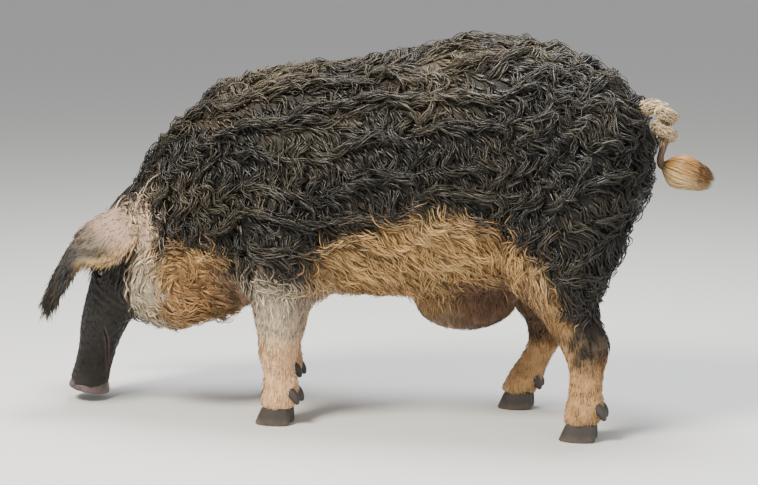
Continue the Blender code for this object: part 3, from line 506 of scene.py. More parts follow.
def fused_form():
    """Trunk, legs and masses as one smooth skin, softened more on the trunk than on the head and legs."""
    forms = [lofted(trunk_rings())] + [lofted(limb_rings(foot)) for foot in FEET]
    for centre, radii, pitch, roll in MASSES.values():
        for side in (-1, 1) if centre[1] else (1,):
            forms.append(ball((centre[0], side * centre[1], centre[2]), radii, pitch, side * roll))
    obj = joined([add_mesh("form", *form) for form in forms], "skin")
    fuse = obj.modifiers.new("fuse", "REMESH")
    fuse.mode = "VOXEL"
    fuse.voxel_size = SKIN_VOXEL
    applied(obj)
    points = points_of(obj)
    body = smooth_step(-0.56, -0.44, points[:, 0]) * smooth_step(0.20, 0.30, points[:, 2])
    group = obj.vertex_groups.new(name="body")
    for share in (0.25, 0.5, 0.75, 1.0):
        chosen = np.flatnonzero(np.abs(body - share) <= 0.125)
        group.add(chosen.tolist(), share, "REPLACE")
    softened(obj, 4)
    softened(obj, 18, "body")
    applied(obj)
    obj.vertex_groups.clear()
    return obj


def refined(obj, near):
    """Splits the edges whose two points are both chosen by near, a function of an array of points."""
    ends = np.empty(len(obj.data.edges) * 2, np.int32)
    obj.data.edges.foreach_get("vertices", ends)
    chosen = np.flatnonzero(near(points_of(obj))[ends.reshape(-1, 2)].all(1))
    mesh = bmesh.new()
    mesh.from_mesh(obj.data)
    mesh.edges.ensure_lookup_table()
    bmesh.ops.subdivide_edges(mesh, edges=[mesh.edges[i] for i in chosen], cuts=1, use_grid_fill=True)
    mesh.to_mesh(obj.data)
    mesh.free()
    touched = obj.vertex_groups.new(name="touched")
    touched.add(np.flatnonzero(near(points_of(obj))).tolist(), 1.0, "REPLACE")
    softened(obj, 3, "touched")
    applied(obj)
    obj.vertex_groups.clear()


def face_coordinates(points):
    """Length down the face from the poll, and the angle round the face from the throat."""
    from_axis = points - (POLL + THROAT_WAY * 0.045)
    along = from_axis @ FACE_WAY
    throat, side = from_axis @ THROAT_WAY, points[..., 1]
    return along, np.arctan2(side, throat)


def eye_frames():
    """For each side the eye's centre and the ways it looks, to its front corner, and up across the lids."""
    frames = {}
    for word, side in (("left", -1), ("right", 1)):
        low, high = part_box(f"eye_{word}")
        look = unit(np.array((-0.45, side * 1.0, 0.12)))
        front = unit(FACE_WAY - look * (FACE_WAY @ look))
        frames[word] = (np.array((low + high) / 2), look, front, np.cross(look, front) * side)
    return frames


def from_eyes(points, eyes):
    """The distance from points to the nearer eye's centre."""
    return np.min([np.linalg.norm(points - eye[0], axis=1) for eye in eyes.values()], axis=0)


def lid_shape(points, eye):
    """How deep the socket is at points, and how high the lids and folds round it stand, in metres."""
    centre, look, front, up = eye
    offset = points - centre
    u, v, deep = offset @ front, offset @ up, offset @ look
    near = (deep > -0.012) & (np.hypot(u, v) < 0.05)
    open_up = np.where(v > 0, 0.0074, 0.0058)
    ring = np.hypot(u / 0.0126, v / open_up)
    radius = np.hypot(u, v)
    hole = smooth_step(1.10, 0.86, ring) * near
    lids = hump(1.30, 0.24, ring) * 0.0023 - hump(2.15, 0.22, ring) * 0.0010
    lids = lids + hump(2.75, 0.30, ring) * 0.0011
    brow = smooth_step(0.004, 0.018, v) * hump(0.020, 0.011, radius) * 0.0030
    bags = smooth_step(-0.004, -0.014, v) * np.sin(radius * 900) * hump(0.020, 0.009, radius) * 0.0006
    return hole, (lids + brow + bags) * near


def mouth_line(points):
    """How far points lie from the line of the mouth, down the face, and whether they are beside it at all."""
    along, angle = face_coordinates(points)
    turn = np.abs(angle) / MOUTH_HALF_TURN
    line = MOUTH_FRONT - (MOUTH_FRONT - MOUTH_CORNER) * np.minimum(turn, 1.2) ** 1.7
    return along - line, smooth_step(1.06, 0.93, turn)


def carve_head(obj, eyes):
    """Mouth, lips, lids, snout wrinkles and cheek folds, pressed into the skin along its normals."""
    points, normals = points_of(obj), normals_of(obj)
    along, angle = face_coordinates(points)
    away, fade = mouth_line(points)
    head = smooth_step(-0.50, -0.53, points[:, 0])
    chin = smooth_step(1.0, 0.4, np.abs(angle))
    height = -(0.0090 + 0.0090 * chin) * hump(0, 0.0036 + 0.0030 * chin, away) * fade
    height += 0.0040 * (hump(-0.0105, 0.0060, away) + hump(0.0100, 0.0050, away)) * fade
    top = smooth_step(1.35, 2.3, np.abs(angle))
    flank = hump(1.75, 0.55, np.abs(angle))
    height += 0.0026 * hump(0.386, 0.016, along) - 0.0050 * hump(0.320, 0.045, along) * (1 - chin)
    height -= 0.0014 * smooth_step(0.396, 0.406, along)
    height += 0.0060 * hump(0.215, 0.050, along) * flank
    ridges = np.sin(along * 520 + 1.3 * np.sin(angle * 3 + along * 60))
    height += 0.0008 * ridges * top * smooth_step(0.345, 0.375, along) * smooth_step(0.408, 0.395, along)
    folds = np.sin((points[:, 0] * 0.75 + points[:, 2]) * 260 + waves(points, 0.10, 5) * 1.5)
    cheek = smooth_step(-0.46, -0.52, points[:, 0]) * smooth_step(0.24, 0.20, along)
    height += 0.0007 * folds * cheek * smooth_step(2.3, 1.5, np.abs(angle))
    height += 0.0004 * waves(points, 0.018, 6) * head
    points += normals * (height * head)[:, None]
    for eye in eyes.values():
        hole, raised = lid_shape(points, eye)
        centre, look = eye[0], eye[1]
        points += normals * (raised * (1 - hole))[:, None]
        depth = (points - centre) @ look
        points -= look * (hole * np.maximum(depth + 0.004, 0))[:, None]
    move_points(obj, points)


def wrinkle_body(obj):
    """Folds of loose skin at the throat and flank and on the lower legs, as waves along the normals."""
    points, normals = points_of(obj), normals_of(obj)
    x, _, z = points.T
    throat = hump(-0.285, 0.05, x) * smooth_step(0.34, 0.24, z)
    height = 0.0028 * np.sin((x * 0.9 - z * 0.5) * 210 + waves(points, 0.12, 21)) * throat
    flank = hump(0.330, 0.05, x) * hump(0.300, 0.07, z)
    height += 0.0026 * np.sin((x + z * 0.4) * 190 + waves(points, 0.10, 22)) * flank
    low_leg = smooth_step(0.30, 0.20, z) * smooth_step(-0.42, -0.38, x)
    height += 0.0009 * np.sin(z * 420 + waves(points, 0.05, 23) * 1.6) * low_leg
    height += 0.0014 * waves(points, 0.035, 24) * low_leg
    move_points(obj, points + normals * height[:, None])


# Markings, shared by the skin and the coat

# The upper edges of the gold marks on belly and cheek, as x and z.
BELLY_LINE = ((-0.30, 0.25), (-0.20, 0.285), (-0.118, 0.352), (-0.06, 0.384), (0.006, 0.418), (0.089, 0.452),
              (0.171, 0.460), (0.231, 0.445), (0.294, 0.420), (0.346, 0.388), (0.387, 0.350), (0.420, 0.285),
              (0.442, 0.200), (0.470, 0.120))
CHEEK_LINE = ((-0.60, 0.18), (-0.545, 0.30), (-0.500, 0.345), (-0.440, 0.358), (-0.393, 0.372),
              (-0.346, 0.378), (-0.313, 0.360), (-0.284, 0.330), (-0.255, 0.270), (-0.23, 0.20))


def markings(points):
    """Masks of the coat's and skin's marks at points: each is 1 inside the mark and fades over its edge."""
    x, y, z = points[..., 0], points[..., 1], points[..., 2]
    ragged = waves(points, 0.07, 31) * 0.012 + waves(points, 0.018, 32) * 0.006
    belly = np.interp(x, *np.array(BELLY_LINE).T)
    cheek = np.interp(x, *np.array(CHEEK_LINE).T)
    gold = smooth_step(0.022, -0.016, z - belly + ragged)
    gold = gold * smooth_step(-0.135, -0.095, x + ragged - (z - 0.29) * 0.15)
    jowl = smooth_step(0.020, -0.014, z - cheek + ragged)
    jowl = jowl * smooth_step(-0.228, -0.262, x) * smooth_step(0.10, 0.13, z)
    low = smooth_step(0.255, 0.205, z + ragged)
    face = smooth_step(-0.510, -0.530, x + ragged * 0.5)
    under_ear = smooth_step(0.350, 0.375, z) * smooth_step(0.478, 0.452, z + ragged)
    return {
        "gold": np.clip(gold, 0, 1) * smooth_step(0.20, 0.26, z),
        "jowl": jowl * (1 - face),
        "face": face,
        "grey cheek": smooth_step(-0.428, -0.462, x + ragged) * smooth_step(0.395, 0.350, z) * (1 - face),
        "leg": low * smooth_step(-0.32, -0.29, x),
        "fore top": (hump(-0.185, 0.075, x) * smooth_step(0.335, 0.290, z + ragged)
                     * smooth_step(0.16, 0.20, z)),
        "throat": hump(-0.270, 0.040, x) * smooth_step(0.340, 0.295, z + ragged),
        "ear patch": (smooth_step(-0.445, -0.475, x + ragged) * under_ear
                      * smooth_step(0.050, 0.080, np.abs(y))),
        "pouch": hump(0.255, 0.11, x) * smooth_step(0.325, 0.282, z + ragged) * smooth_step(0.15, 0.18, z),
        "groin": hump(0.335, 0.032, x) * hump(0.300, 0.050, z),
    }


def bare_share(points):
    """Where the skin is nearly bare: at the throat, on the pouch and in the groin."""
    m = markings(points)
    return np.clip(m["throat"] + m["pouch"] + m["groin"], 0, 1)


def back_colours(points, tints):
    """Black with brown patches and grey tints, browner on the neck; along the back and on the rump the brown
    is partly the coat's own and partly painted highlight, and the grey there is painted sheen.
    """
    x, z = points[..., 0], points[..., 2]
    stretched = points * (1.0, 1.0, 2.4)
    patches = smooth_step(-0.1, 1.0, waves(stretched, 0.22, 41) + 0.5 * waves(stretched, 0.07, 42))
    # The top of the back and the rump are lightened: the brown there is partly the coat's own and partly
    # painted highlight from above.
    back = smooth_step(0.58, 0.78, z - 0.10 * smooth_step(-0.1, -0.4, -x)) * 0.55
    rump = smooth_step(0.10, 0.30, x) * smooth_step(0.48, 0.66, z)
    neck = smooth_step(0.0, -0.30, x)
    shade = patches * (0.20 + 0.22 * neck) + back * (0.45 + patches)
    shade = shade + smooth_step(0.45, 1.0, tints) * (0.22 + 0.18 * rump + 0.16 * neck)
    colour = mix(BLACK_HAIR, BROWN_HAIR, np.clip(shade, 0, 1))
    # The extra grey along the back and on the rump is painted sheen of light from above; the rest is grey
    # tints.
    return mix(colour, GREY_HAIR_AND_SHEEN, smooth_step(0.80, 1.0, tints) * (0.15 + 0.35 * back + 0.35 * rump))


def gold_colours(points, tints, inside):
    """Gold with pale tints, rustier low down and near the edge, where the share inside the mark is low."""
    pale = 0.35 * tints + 0.35 * smooth_step(-0.2, 0.9, waves(points, 0.07, 43))
    gold = mix(GOLD_HAIR, PALE_HAIR, np.clip(pale, 0, 1))
    darker = smooth_step(0.0, 1.0, waves(points, 0.09, 44)) * 0.30
    darker = darker + smooth_step(0.33, 0.27, points[..., 2]) * 0.30
    return mix(gold, RUST_HAIR, np.clip(darker + smooth_step(0.6, 0.0, inside) * 0.4, 0, 1))


def leg_colours(points, tints):
    """Peach and tan, grey on top in front; hind legs dark behind and banded; rust at knees and hocks."""
    x, y, z = points[..., 0], points[..., 1], points[..., 2]
    near = y < 0
    hind = smooth_step(0.2, 0.3, x)
    leg = mix(mix(PEACH_HAIR, WHITE_HAIR, tints * 0.35), GOLD_HAIR, 0.70 * hind)
    leg = mix(leg, BROWN_HAIR, hind * (0.12 + 0.45 * smooth_step(0.7, 1.0, tints)))
    upper = hind * smooth_step(0.135, 0.180, z)
    leg = mix(leg, mix(GOLD_HAIR, PEACH_HAIR, 0.35), upper * 0.8)
    rear = smooth_step(-0.040, 0.0, x - np.where(near, 0.462, 0.322) + waves(points, 0.03, 48) * 0.006)
    bands = 0.5 + 0.5 * np.sin(z * 95 + waves(points, 0.06, 46) * 1.2)
    leg = mix(leg, LEG_DARK_HAIR, upper * np.clip(rear * 1.1 + 0.5 * bands, 0, 1))
    hock = smooth_step(0.0, 0.02, x - np.where(near, 0.478, 0.335)) * hump(0.165, 0.018, z)
    leg = mix(leg, RUST_HAIR, hind * hock * 0.9)
    knee = hump(0.170, 0.016, z) * smooth_step(-0.01, -0.03, x - np.where(near, -0.187, -0.252))
    leg = mix(leg, RUST_HAIR, (1 - hind) * knee * 0.8)
    return mix(leg, GREY_HAIR_AND_SHEEN, (1 - hind) * smooth_step(0.175, 0.225, z) * 0.75)


def hair_colours(points, tints):
    """The hair's colour at roots, each mark's colours laid over those of the back; the pouch's dark is partly
    its own and partly painted shadow under the belly.
    """
    m = markings(points)
    gold = gold_colours(points, tints, m["gold"] + m["jowl"])
    colour = mix(back_colours(points, tints), gold, m["gold"])
    jowl = mix(gold, RUST_HAIR, np.clip(0.35 + 0.4 * waves(points, 0.05, 45), 0, 0.8))
    olive = smooth_step(-0.345, -0.305, points[..., 0]) * (0.35 + 0.55 * smooth_step(0.2, 0.6, tints))
    colour = mix(colour, mix(jowl, OLIVE_HAIR, olive), m["jowl"])
    colour = mix(colour, mix(CREAM_HAIR, GREY_HAIR_AND_SHEEN, tints * 0.7), m["grey cheek"] * m["jowl"])
    colour = mix(colour, mix(BLACK_HAIR, BROWN_HAIR, tints * 0.22), m["face"])
    greyer = smooth_step(0.3, 1.0, waves(points, 0.03, 47)) * 0.5
    patch = mix(mix(PEACH_HAIR, WHITE_HAIR, tints), GREY_HAIR_AND_SHEEN, greyer)
    colour = mix(colour, patch, m["ear patch"] * 0.85)
    colour = mix(colour, leg_colours(points, tints), m["leg"])
    # Dark rust hair on the pouch: partly its own colour, partly painted shadow under the belly.
    colour = mix(colour, SHADED_POUCH_HAIR, m["pouch"] * 0.85)
    pale = mix(GREY_HAIR_AND_SHEEN, SHOULDER_HAIR, smooth_step(-0.1, 0.5, tints))
    return mix(colour, pale, m["fore top"] * 0.9)


def skin_colours(points):
    """The skin under the hair: as dark as the hair's roots, a painted shade of the coat's depth; pink where
    it is bare, and peach on the legs, darkened there by painted shade of the leg hair.
    """
    m = markings(points)
    hair = hair_colours(points, np.full(points.shape[:-1], 0.3))
    # The skin under the coat is kept at 0.55 of the hair's colour: painted shade, so that gaps between locks
    # read as the coat's shaded depth.
    colour = mix(hair * 0.55, PINK_SKIN, bare_share(points))
    # Dark skin on the pouch is partly its own colour and partly painted shadow under the belly; the throat is
    # darkened too.
    colour = mix(colour, DARK_SKIN, m["pouch"] * 0.68 + m["throat"] * 0.25)
    colour = mix(colour, PATCH_SKIN, np.clip(m["ear patch"] + m["fore top"] * 0.8, 0, 1))
    # On the legs the skin is multiplied by a dimming colour: painted shade of the hair over it, so the skin
    # is no lighter than the tufts.
    colour = mix(colour, mix(PEACH_SKIN, hair, 0.93) * LEG_SKIN_SHADE, m["leg"])
    colour = mix(colour, DARK_SKIN, m["face"] * 0.8)
    away, beside = mouth_line(points)
    mouth = m["face"] * beside
    colour = mix(colour, LIP_SKIN, mouth * hump(0, 0.015, away) * 0.8)
    return mix(colour, MOUTH_SKIN, mouth * hump(0, 0.0032, away))


# Materials

def node(tree, kind, inputs=None, **settings):
    """A node with its settings made, and its inputs set from values or linked from sockets."""
    made = tree.nodes.new(kind)
    for name, value in settings.items():
        setattr(made, name, value)
    for name, value in (inputs or {}).items():
        if isinstance(value, bpy.types.NodeSocket):
            tree.links.new(value, made.inputs[name])
        else:
            made.inputs[name].default_value = value
    return made


def maths(tree, operation, *values):
    """One step of arithmetic on values or sockets."""
    return node(tree, "ShaderNodeMath", dict(enumerate(values)), operation=operation).outputs[0]


def noise(tree, place, scale, detail, roughness=0.5):
    """Smooth noise from 0 to 1."""
    inputs = {"Vector": place, "Scale": scale, "Detail": detail, "Roughness": roughness}
    return node(tree, "ShaderNodeTexNoise", inputs).outputs["Fac"]


def stretched(tree, place, scale):
    """Coordinates with each axis scaled."""
    return node(tree, "ShaderNodeMapping", {"Vector": place, "Scale": scale}).outputs["Vector"]


def mapped(tree, value, low, high, to_low, to_high):
    """A value's range from low to high moved to another range."""
    inputs = {"Value": value, "From Min": low, "From Max": high, "To Min": to_low, "To Max": to_high}
    return node(tree, "ShaderNodeMapRange", inputs).outputs["Result"]


def blended(tree, share, first, second, way="MIX"):
    """Two colours mixed by a share, or multiplied."""
    inputs = {"Factor": share, "A": first, "B": second}
    return node(tree, "ShaderNodeMix", inputs, data_type="RGBA", blend_type=way).outputs["Result"]


def scaled(tree, colour, factor):
    """A colour made lighter or darker by a factor from a socket."""
    return blended(tree, 1.0, colour, factor, "MULTIPLY")


def object_place(tree):
    """Coordinates in metres on the object."""
    return node(tree, "ShaderNodeTexCoord").outputs["Object"]


def attribute_of(tree, name):
    """The outputs of a value or colour kept on the points."""
    return node(tree, "ShaderNodeAttribute", attribute_name=name).outputs


def new_group(name, vector, numbers, outputs):
    """A node group that takes one vector and some numbers with their defaults, and gives numbers."""
    group = bpy.data.node_groups.new(name, "ShaderNodeTree")
    face = group.interface
    face.new_socket(vector, in_out="INPUT", socket_type="NodeSocketVector")
    for number, value in numbers.items():
        face.new_socket(number, in_out="INPUT", socket_type="NodeSocketFloat").default_value = value
    for output in outputs:
        face.new_socket(output, in_out="OUTPUT", socket_type="NodeSocketFloat")
    return group, node(group, "NodeGroupInput").outputs


def pebble_group():
    """Fine relief for skin: cells with soft edges over smaller noise, both sized in metres."""
    numbers = {"Cell Size": 0.002, "Fine Size": 0.0006, "Fine Share": 0.4}
    group, given = new_group("pebbled relief", "Vector", numbers, ("Height",))
    cell_scale = maths(group, "DIVIDE", 1.0, given["Cell Size"])
    fine_scale = maths(group, "DIVIDE", 1.0, given["Fine Size"])
    inputs = {"Vector": given["Vector"], "Scale": cell_scale}
    cells = node(group, "ShaderNodeTexVoronoi", inputs, feature="SMOOTH_F1")
    fine = maths(group, "MULTIPLY", noise(group, given["Vector"], fine_scale, 3.0), given["Fine Share"])
    node(group, "NodeGroupOutput", {"Height": maths(group, "ADD", cells.outputs["Distance"], fine)})
    return group


def strand_group():
    """A tuft's shade, dark at its root and streaked along its length, and the streaks' height."""
    numbers = {"Reach": 0.0, "Root Shade": 0.5, "Streak Shade": 0.7}
    group, given = new_group("strands", "Lengthwise", numbers, ("Shade", "Height"))
    shade = mapped(group, given["Reach"], 0.0, 0.55, given["Root Shade"], 1.0)
    streaks = noise(group, stretched(group, given["Lengthwise"], (12.0, 1.2, 1.0)), 1.0, 2.0)
    light = maths(group, "SUBTRACT", 2.0, given["Streak Shade"])
    streak = mapped(group, streaks, 0.3, 0.7, given["Streak Shade"], light)
    node(group, "NodeGroupOutput", {"Shade": maths(group, "MULTIPLY", shade, streak), "Height": streaks})
    return group


def new_material(name, roughness, specular=0.5, sheen=0.0, coat=0.0, coat_roughness=0.03):
    """A material with a Principled shader, and the numbers that are the same all over set on its sockets."""
    material = bpy.data.materials.new(name)
    material.use_nodes = True
    tree = material.node_tree
    shader = tree.nodes["Principled BSDF"]
    shader.inputs["Roughness"].default_value = roughness
    shader.inputs["Specular IOR Level"].default_value = specular
    shader.inputs["Sheen Weight"].default_value = sheen
    shader.inputs["Coat Weight"].default_value = coat
    shader.inputs["Coat Roughness"].default_value = coat_roughness
    return material, tree, shader


def pebbled(tree, pebbles, place, cell_size):
    """The relief group's height with cells of a size in metres."""
    relief = node(tree, "ShaderNodeGroup", {"Vector": place, "Cell Size": cell_size}, node_tree=pebbles)
    return relief.outputs["Height"]


def surfaced(tree, shader, colour, height, strength, distance):
    """Gives the shader its colour and a relief of so much height."""
    bump = node(tree, "ShaderNodeBump", {"Height": height, "Strength": strength, "Distance": distance})
    tree.links.new(colour, shader.inputs["Base Color"])
    tree.links.new(bump.outputs["Normal"], shader.inputs["Normal"])


def skin_material(pebbles):
    """Skin with the markings' colour, small hair strokes, pores and mottling."""
    material, tree, shader = new_material("skin with short hair", 0.62, specular=0.30, sheen=0.05)
    place = object_place(tree)
    strokes = noise(tree, stretched(tree, place, (420, 420, 90)), 1.0, 4.0, 0.65)
    shade = mapped(tree, strokes, 0.3, 0.7, 0.84, 1.16)
    spots = mapped(tree, noise(tree, place, 60.0, 5.0), 0.35, 0.65, 0.82, 1.16)
    colour = scaled(tree, attribute_of(tree, "Coat")["Color"], maths(tree, "MULTIPLY", shade, spots))
    height = maths(tree, "ADD", pebbled(tree, pebbles, place, 0.0026), strokes)
    surfaced(tree, shader, colour, height, 0.6, 0.0011)
    return material


def hair_material(strands, name, roughness, root_shade, streak_shade, specular):
    """Tufts of hair: the colour kept on the points, shaded and streaked by the group for strands."""
    material, tree, shader = new_material(name, roughness, specular)
    lengthwise = node(tree, "ShaderNodeUVMap", uv_map="Strand").outputs["UV"]
    inputs = {"Lengthwise": lengthwise, "Reach": attribute_of(tree, "Reach")["Fac"], "Root Shade": root_shade,
              "Streak Shade": streak_shade}
    strand = node(tree, "ShaderNodeGroup", inputs, node_tree=strands).outputs
    colour = scaled(tree, attribute_of(tree, "Coat")["Color"], strand["Shade"])
    surfaced(tree, shader, colour, strand["Height"], 0.5, 0.0006)
    return material


def ear_material(pebbles):
    """Ear skin: the colour kept on the points with fine strokes of thin hair."""
    material, tree, shader = new_material("ear skin", 0.60, specular=0.35, sheen=0.15)
    place = object_place(tree)
    strokes = noise(tree, place, 330.0, 4.0, 0.7)
    colour = scaled(tree, attribute_of(tree, "Coat")["Color"], mapped(tree, strokes, 0.3, 0.7, 0.70, 1.30))
    height = maths(tree, "ADD", pebbled(tree, pebbles, place, 0.002), strokes)
    surfaced(tree, shader, colour, height, 0.55, 0.0008)
    return material


def snout_material(pebbles):
    """Bare snout skin: dark grey-brown with pink mottling, moist, with fine cells."""
    material, tree, shader = new_material("moist snout skin", 0.38, coat=0.25, coat_roughness=0.3)
    place = object_place(tree)
    mottle = mapped(tree, noise(tree, place, 55.0, 5.0), 0.42, 0.66, 0.0, 1.0)
    colour = blended(tree, mottle, (0.040, 0.031, 0.029, 1), (0.120, 0.078, 0.070, 1))
    surfaced(tree, shader, colour, pebbled(tree, pebbles, place, 0.0016), 0.9, 0.0009)
    return material


def eye_material():
    """A dark brown iris round a wide pupil under a wet surface, with a thin brown rim at the corners."""
    material, tree, shader = new_material("wet eye", 0.06, coat=1.0, coat_roughness=0.02)
    ramp = node(tree, "ShaderNodeValToRGB", {"Fac": attribute_of(tree, "Reach")["Fac"]})
    stops = ((0.0, (0.004, 0.003, 0.003, 1)), (0.30, (0.006, 0.004, 0.003, 1)),
             (0.36, (0.060, 0.028, 0.011, 1)), (0.74, (0.034, 0.016, 0.008, 1)),
             (0.84, (0.060, 0.034, 0.026, 1)), (1.0, (0.085, 0.048, 0.038, 1)))
    elements = ramp.color_ramp.elements
    while len(elements) < len(stops):
        elements.new(0.5)
    for element, (place, colour) in zip(elements, stops):
        element.position = place
        element.color = colour
    tree.links.new(ramp.outputs["Color"], shader.inputs["Base Color"])
    return material


def claw_material():
    """Worn horn: grey-brown, banded by growth rings across the claw, lighter near the ground."""
    material, tree, shader = new_material("worn horn", 0.48)
    place = object_place(tree)
    warp = noise(tree, place, 70.0, 3.0)
    height = node(tree, "ShaderNodeSeparateXYZ", {"Vector": place}).outputs["Z"]
    warped = maths(tree, "MULTIPLY_ADD", warp, 0.004, height)
    rings = maths(tree, "SINE", maths(tree, "MULTIPLY", warped, 1900.0))
    wear = maths(tree, "MULTIPLY", warp, mapped(tree, height, 0.0, 0.026, 1.0, 0.0))
    worn = mapped(tree, wear, 0.15, 0.75, 0.0, 1.0)
    tone = blended(tree, worn, (0.034, 0.027, 0.023, 1), (0.130, 0.102, 0.076, 1))
    colour = scaled(tree, tone, mapped(tree, rings, -1.0, 1.0, 0.94, 1.05))
    surfaced(tree, shader, colour, rings, 0.12, 0.0004)
    return material


# The coat

# Where the hair turns on each jowl and parts on the rump, and the back's outline, as x and z.
JOWL_WHORL = (-0.395, 0.305)
RUMP_CENTRE = (0.24, 0.80)
BACK_LINE = [station[0] for station in TRUNK.values() if station[0][1] > 0.40][::-1]


def lie(points, normals):
    """The way the coat lies over the body.

    It runs back along the trunk and down its flanks, out from the rump's centre, straight down on buttocks
    and legs, round a whorl on each jowl, and up the face from the snout.
    """
    x, z = points[..., 0], points[..., 2]
    flank = 0.15 + 0.75 * np.abs(normals[..., 1])
    rump = smooth_step(0.45, 0.90, normals[..., 0])
    leg = smooth_step(0.36, 0.24, z) * smooth_step(-0.32, -0.26, x)
    thigh = smooth_step(0.58, 0.34, z) * smooth_step(0.28, 0.40, x) * 0.75
    down = np.maximum(np.maximum(rump, leg), thigh)
    way = np.stack([1 - down, np.zeros_like(x), -(flank * (1 - down) + down)], -1)
    behind = np.stack([x - RUMP_CENTRE[0], np.zeros_like(x), z - RUMP_CENTRE[1]], -1)
    way = mix(way, unit(behind), smooth_step(0.24, 0.34, x) * (1 - down))
    jowl = smooth_step(-0.30, -0.38, x) * smooth_step(0.42, 0.34, z)
    from_whorl = np.stack([x - JOWL_WHORL[0], np.zeros_like(x), z - JOWL_WHORL[1]], -1)
    round_it = np.stack([-from_whorl[..., 2], np.zeros_like(x), from_whorl[..., 0]], -1)
    way = mix(way, unit(unit(round_it) + 0.35 * unit(from_whorl)), jowl)
    face = smooth_step(-0.53, -0.58, x)
    way = mix(way, -FACE_WAY, face)
    way = way - normals * (way * normals).sum(-1, keepdims=True)
    return unit(way)


def wave_phase(points, size):
    """The phase of the coat's waves: crests follow the back line, and circle the rump behind its centre."""
    x, z = points[..., 0], points[..., 2]
    behind = np.maximum(x - RUMP_CENTRE[0], 0)
    top = np.interp(np.minimum(x, RUMP_CENTRE[0]), *np.array(BACK_LINE).T)
    return np.hypot(behind, top - z) * math.tau / size + 1.7 * waves(points, 0.17, 50)


def curled(points, normals, swing, size):
    """The lie turned about the normal, left and right in turn across the crests, so that the hair waves."""
    turn = swing * np.sin(wave_phase(points, size)) + 0.40 * waves(points, 0.20, 52)
    return turned(lie(points, normals), normals, turn)


def scatter(surface, count, keep, rng):
    """Places spread by area over the faces of a surface, kept with the chance that keep gives at each."""
    data = surface.data
    data.calc_loop_triangles()
    corner_ids = np.empty(len(data.loop_triangles) * 3, np.int32)
    data.loop_triangles.foreach_get("vertices", corner_ids)
    corners = points_of(surface)[corner_ids.reshape(-1, 3)]
    area = np.linalg.norm(np.cross(corners[:, 1] - corners[:, 0], corners[:, 2] - corners[:, 0]), axis=1) / 2
    centres = corners.mean(1)
    weight = area * keep(centres)
    picked = corners[rng.choice(len(corners), count, p=weight / weight.sum())]
    a, b = rng.random((2, count, 1))
    a, b = np.where(a + b > 1, 1 - a, a), np.where(a + b > 1, 1 - b, b)
    return picked[:, 0] + a * (picked[:, 1] - picked[:, 0]) + b * (picked[:, 2] - picked[:, 0])


def evened(points, spacing):
    """Keeps one point in each cell of a grid, and then of the grid moved by half a cell."""
    for shift in (0, spacing / 2):
        cells = np.floor((points + shift) / spacing).astype(np.int64)
        _, first = np.unique(cells, axis=0, return_index=True)
        points = points[np.sort(first)]
    return points


def nearest_of(points, centres, cell):
    """For each point the index of the nearest centre, searched for in the cells round it."""
    best = np.full(len(points), -1)
    distance = np.full(len(points), np.inf)
    low = np.minimum(points.min(0), centres.min(0)) - cell
    size = np.ceil((np.maximum(points.max(0), centres.max(0)) - low) / cell).astype(int) + 2

    def key(cells):
        return (cells[:, 0] * size[1] + cells[:, 1]) * size[2] + cells[:, 2]

    centre_keys = key(np.floor((centres - low) / cell).astype(int))
    order = np.argsort(centre_keys, kind="stable")
    sorted_keys = centre_keys[order]
    point_cells = np.floor((points - low) / cell).astype(int)
    for step in np.ndindex(3, 3, 3):
        keys = key(point_cells + np.array(step) - 1)
        start, end = np.searchsorted(sorted_keys, keys, "left"), np.searchsorted(sorted_keys, keys, "right")
        for extra in range(int((end - start).max()) if len(keys) else 0):
            valid = start + extra < end
            candidate = order[np.minimum(start + extra, len(order) - 1)]
            away = np.where(valid, np.linalg.norm(points - centres[candidate], axis=1), np.inf)
            closer = away < distance
            best = np.where(closer, candidate, best)
            distance = np.where(closer, away, distance)
    return best


def paths_over(surface, roots, lengths, steps, way_of):
    """Paths that follow way_of over a surface in equal steps, settling on it after each."""
    spots, normals = on_surface(roots, surface)
    path, outs = [spots], [normals]
    for _ in range(steps - 1):
        way = way_of(spots, normals)
        spots, normals = on_surface(spots + way * (lengths / (steps - 1))[:, None], surface)
        path.append(spots)
        outs.append(normals)
    return np.stack(path, 1), np.stack(outs, 1)


def tuft_mesh(paths, outs, widths, heights, twist):
    """Closed tapered tufts as whole arrays: a low triangle across the path at each step, and a point last.

    A ring's width and height swell from the root and thin to the tip as the sine of the share of the length.
    """
    count, steps = paths.shape[:2]
    rows = steps - 1
    share = np.arange(rows) / rows
    swell = np.sin(math.pi * (0.22 + 0.70 * share)) ** 0.8
    ways = unit(np.gradient(paths, axis=1))[:, :rows]
    across = unit(np.cross(outs[:, :rows], ways))
    up = np.cross(ways, across)
    turn = (twist[:, None] * share + twist[:, None] * 0.4)[..., None]
    side = across * np.cos(turn) + up * np.sin(turn)
    rise = up * np.cos(turn) - across * np.sin(turn)
    half = (widths[:, None] * swell / 2)[..., None]
    high = (heights[:, None] * swell)[..., None]
    base = paths[:, :rows]
    rings = np.stack([base - side * half, base + side * half, base + rise * high], 2)
    points = np.concatenate([rings.reshape(count, rows * 3, 3), paths[:, -1:]], 1)
    per = rows * 3 + 1
    last = (rows - 1) * 3
    sides = grid_faces(rows, 3, True)
    tip = per - 1
    ends = np.array([[last, last + 1, tip], [last + 1, last + 2, tip], [last + 2, last, tip], [0, 2, 1]])
    first = (np.arange(count) * per)[:, None, None]
    faces = [(first + sides[None]).reshape(-1, 4), (first + ends[None]).reshape(-1, 3)]
    reach = np.append(np.repeat(share, 3), 1.0)
    return points.reshape(-1, 3), faces, np.tile(reach, count), per


# The size on the map of a tuft's patch.
PATCH = 0.003


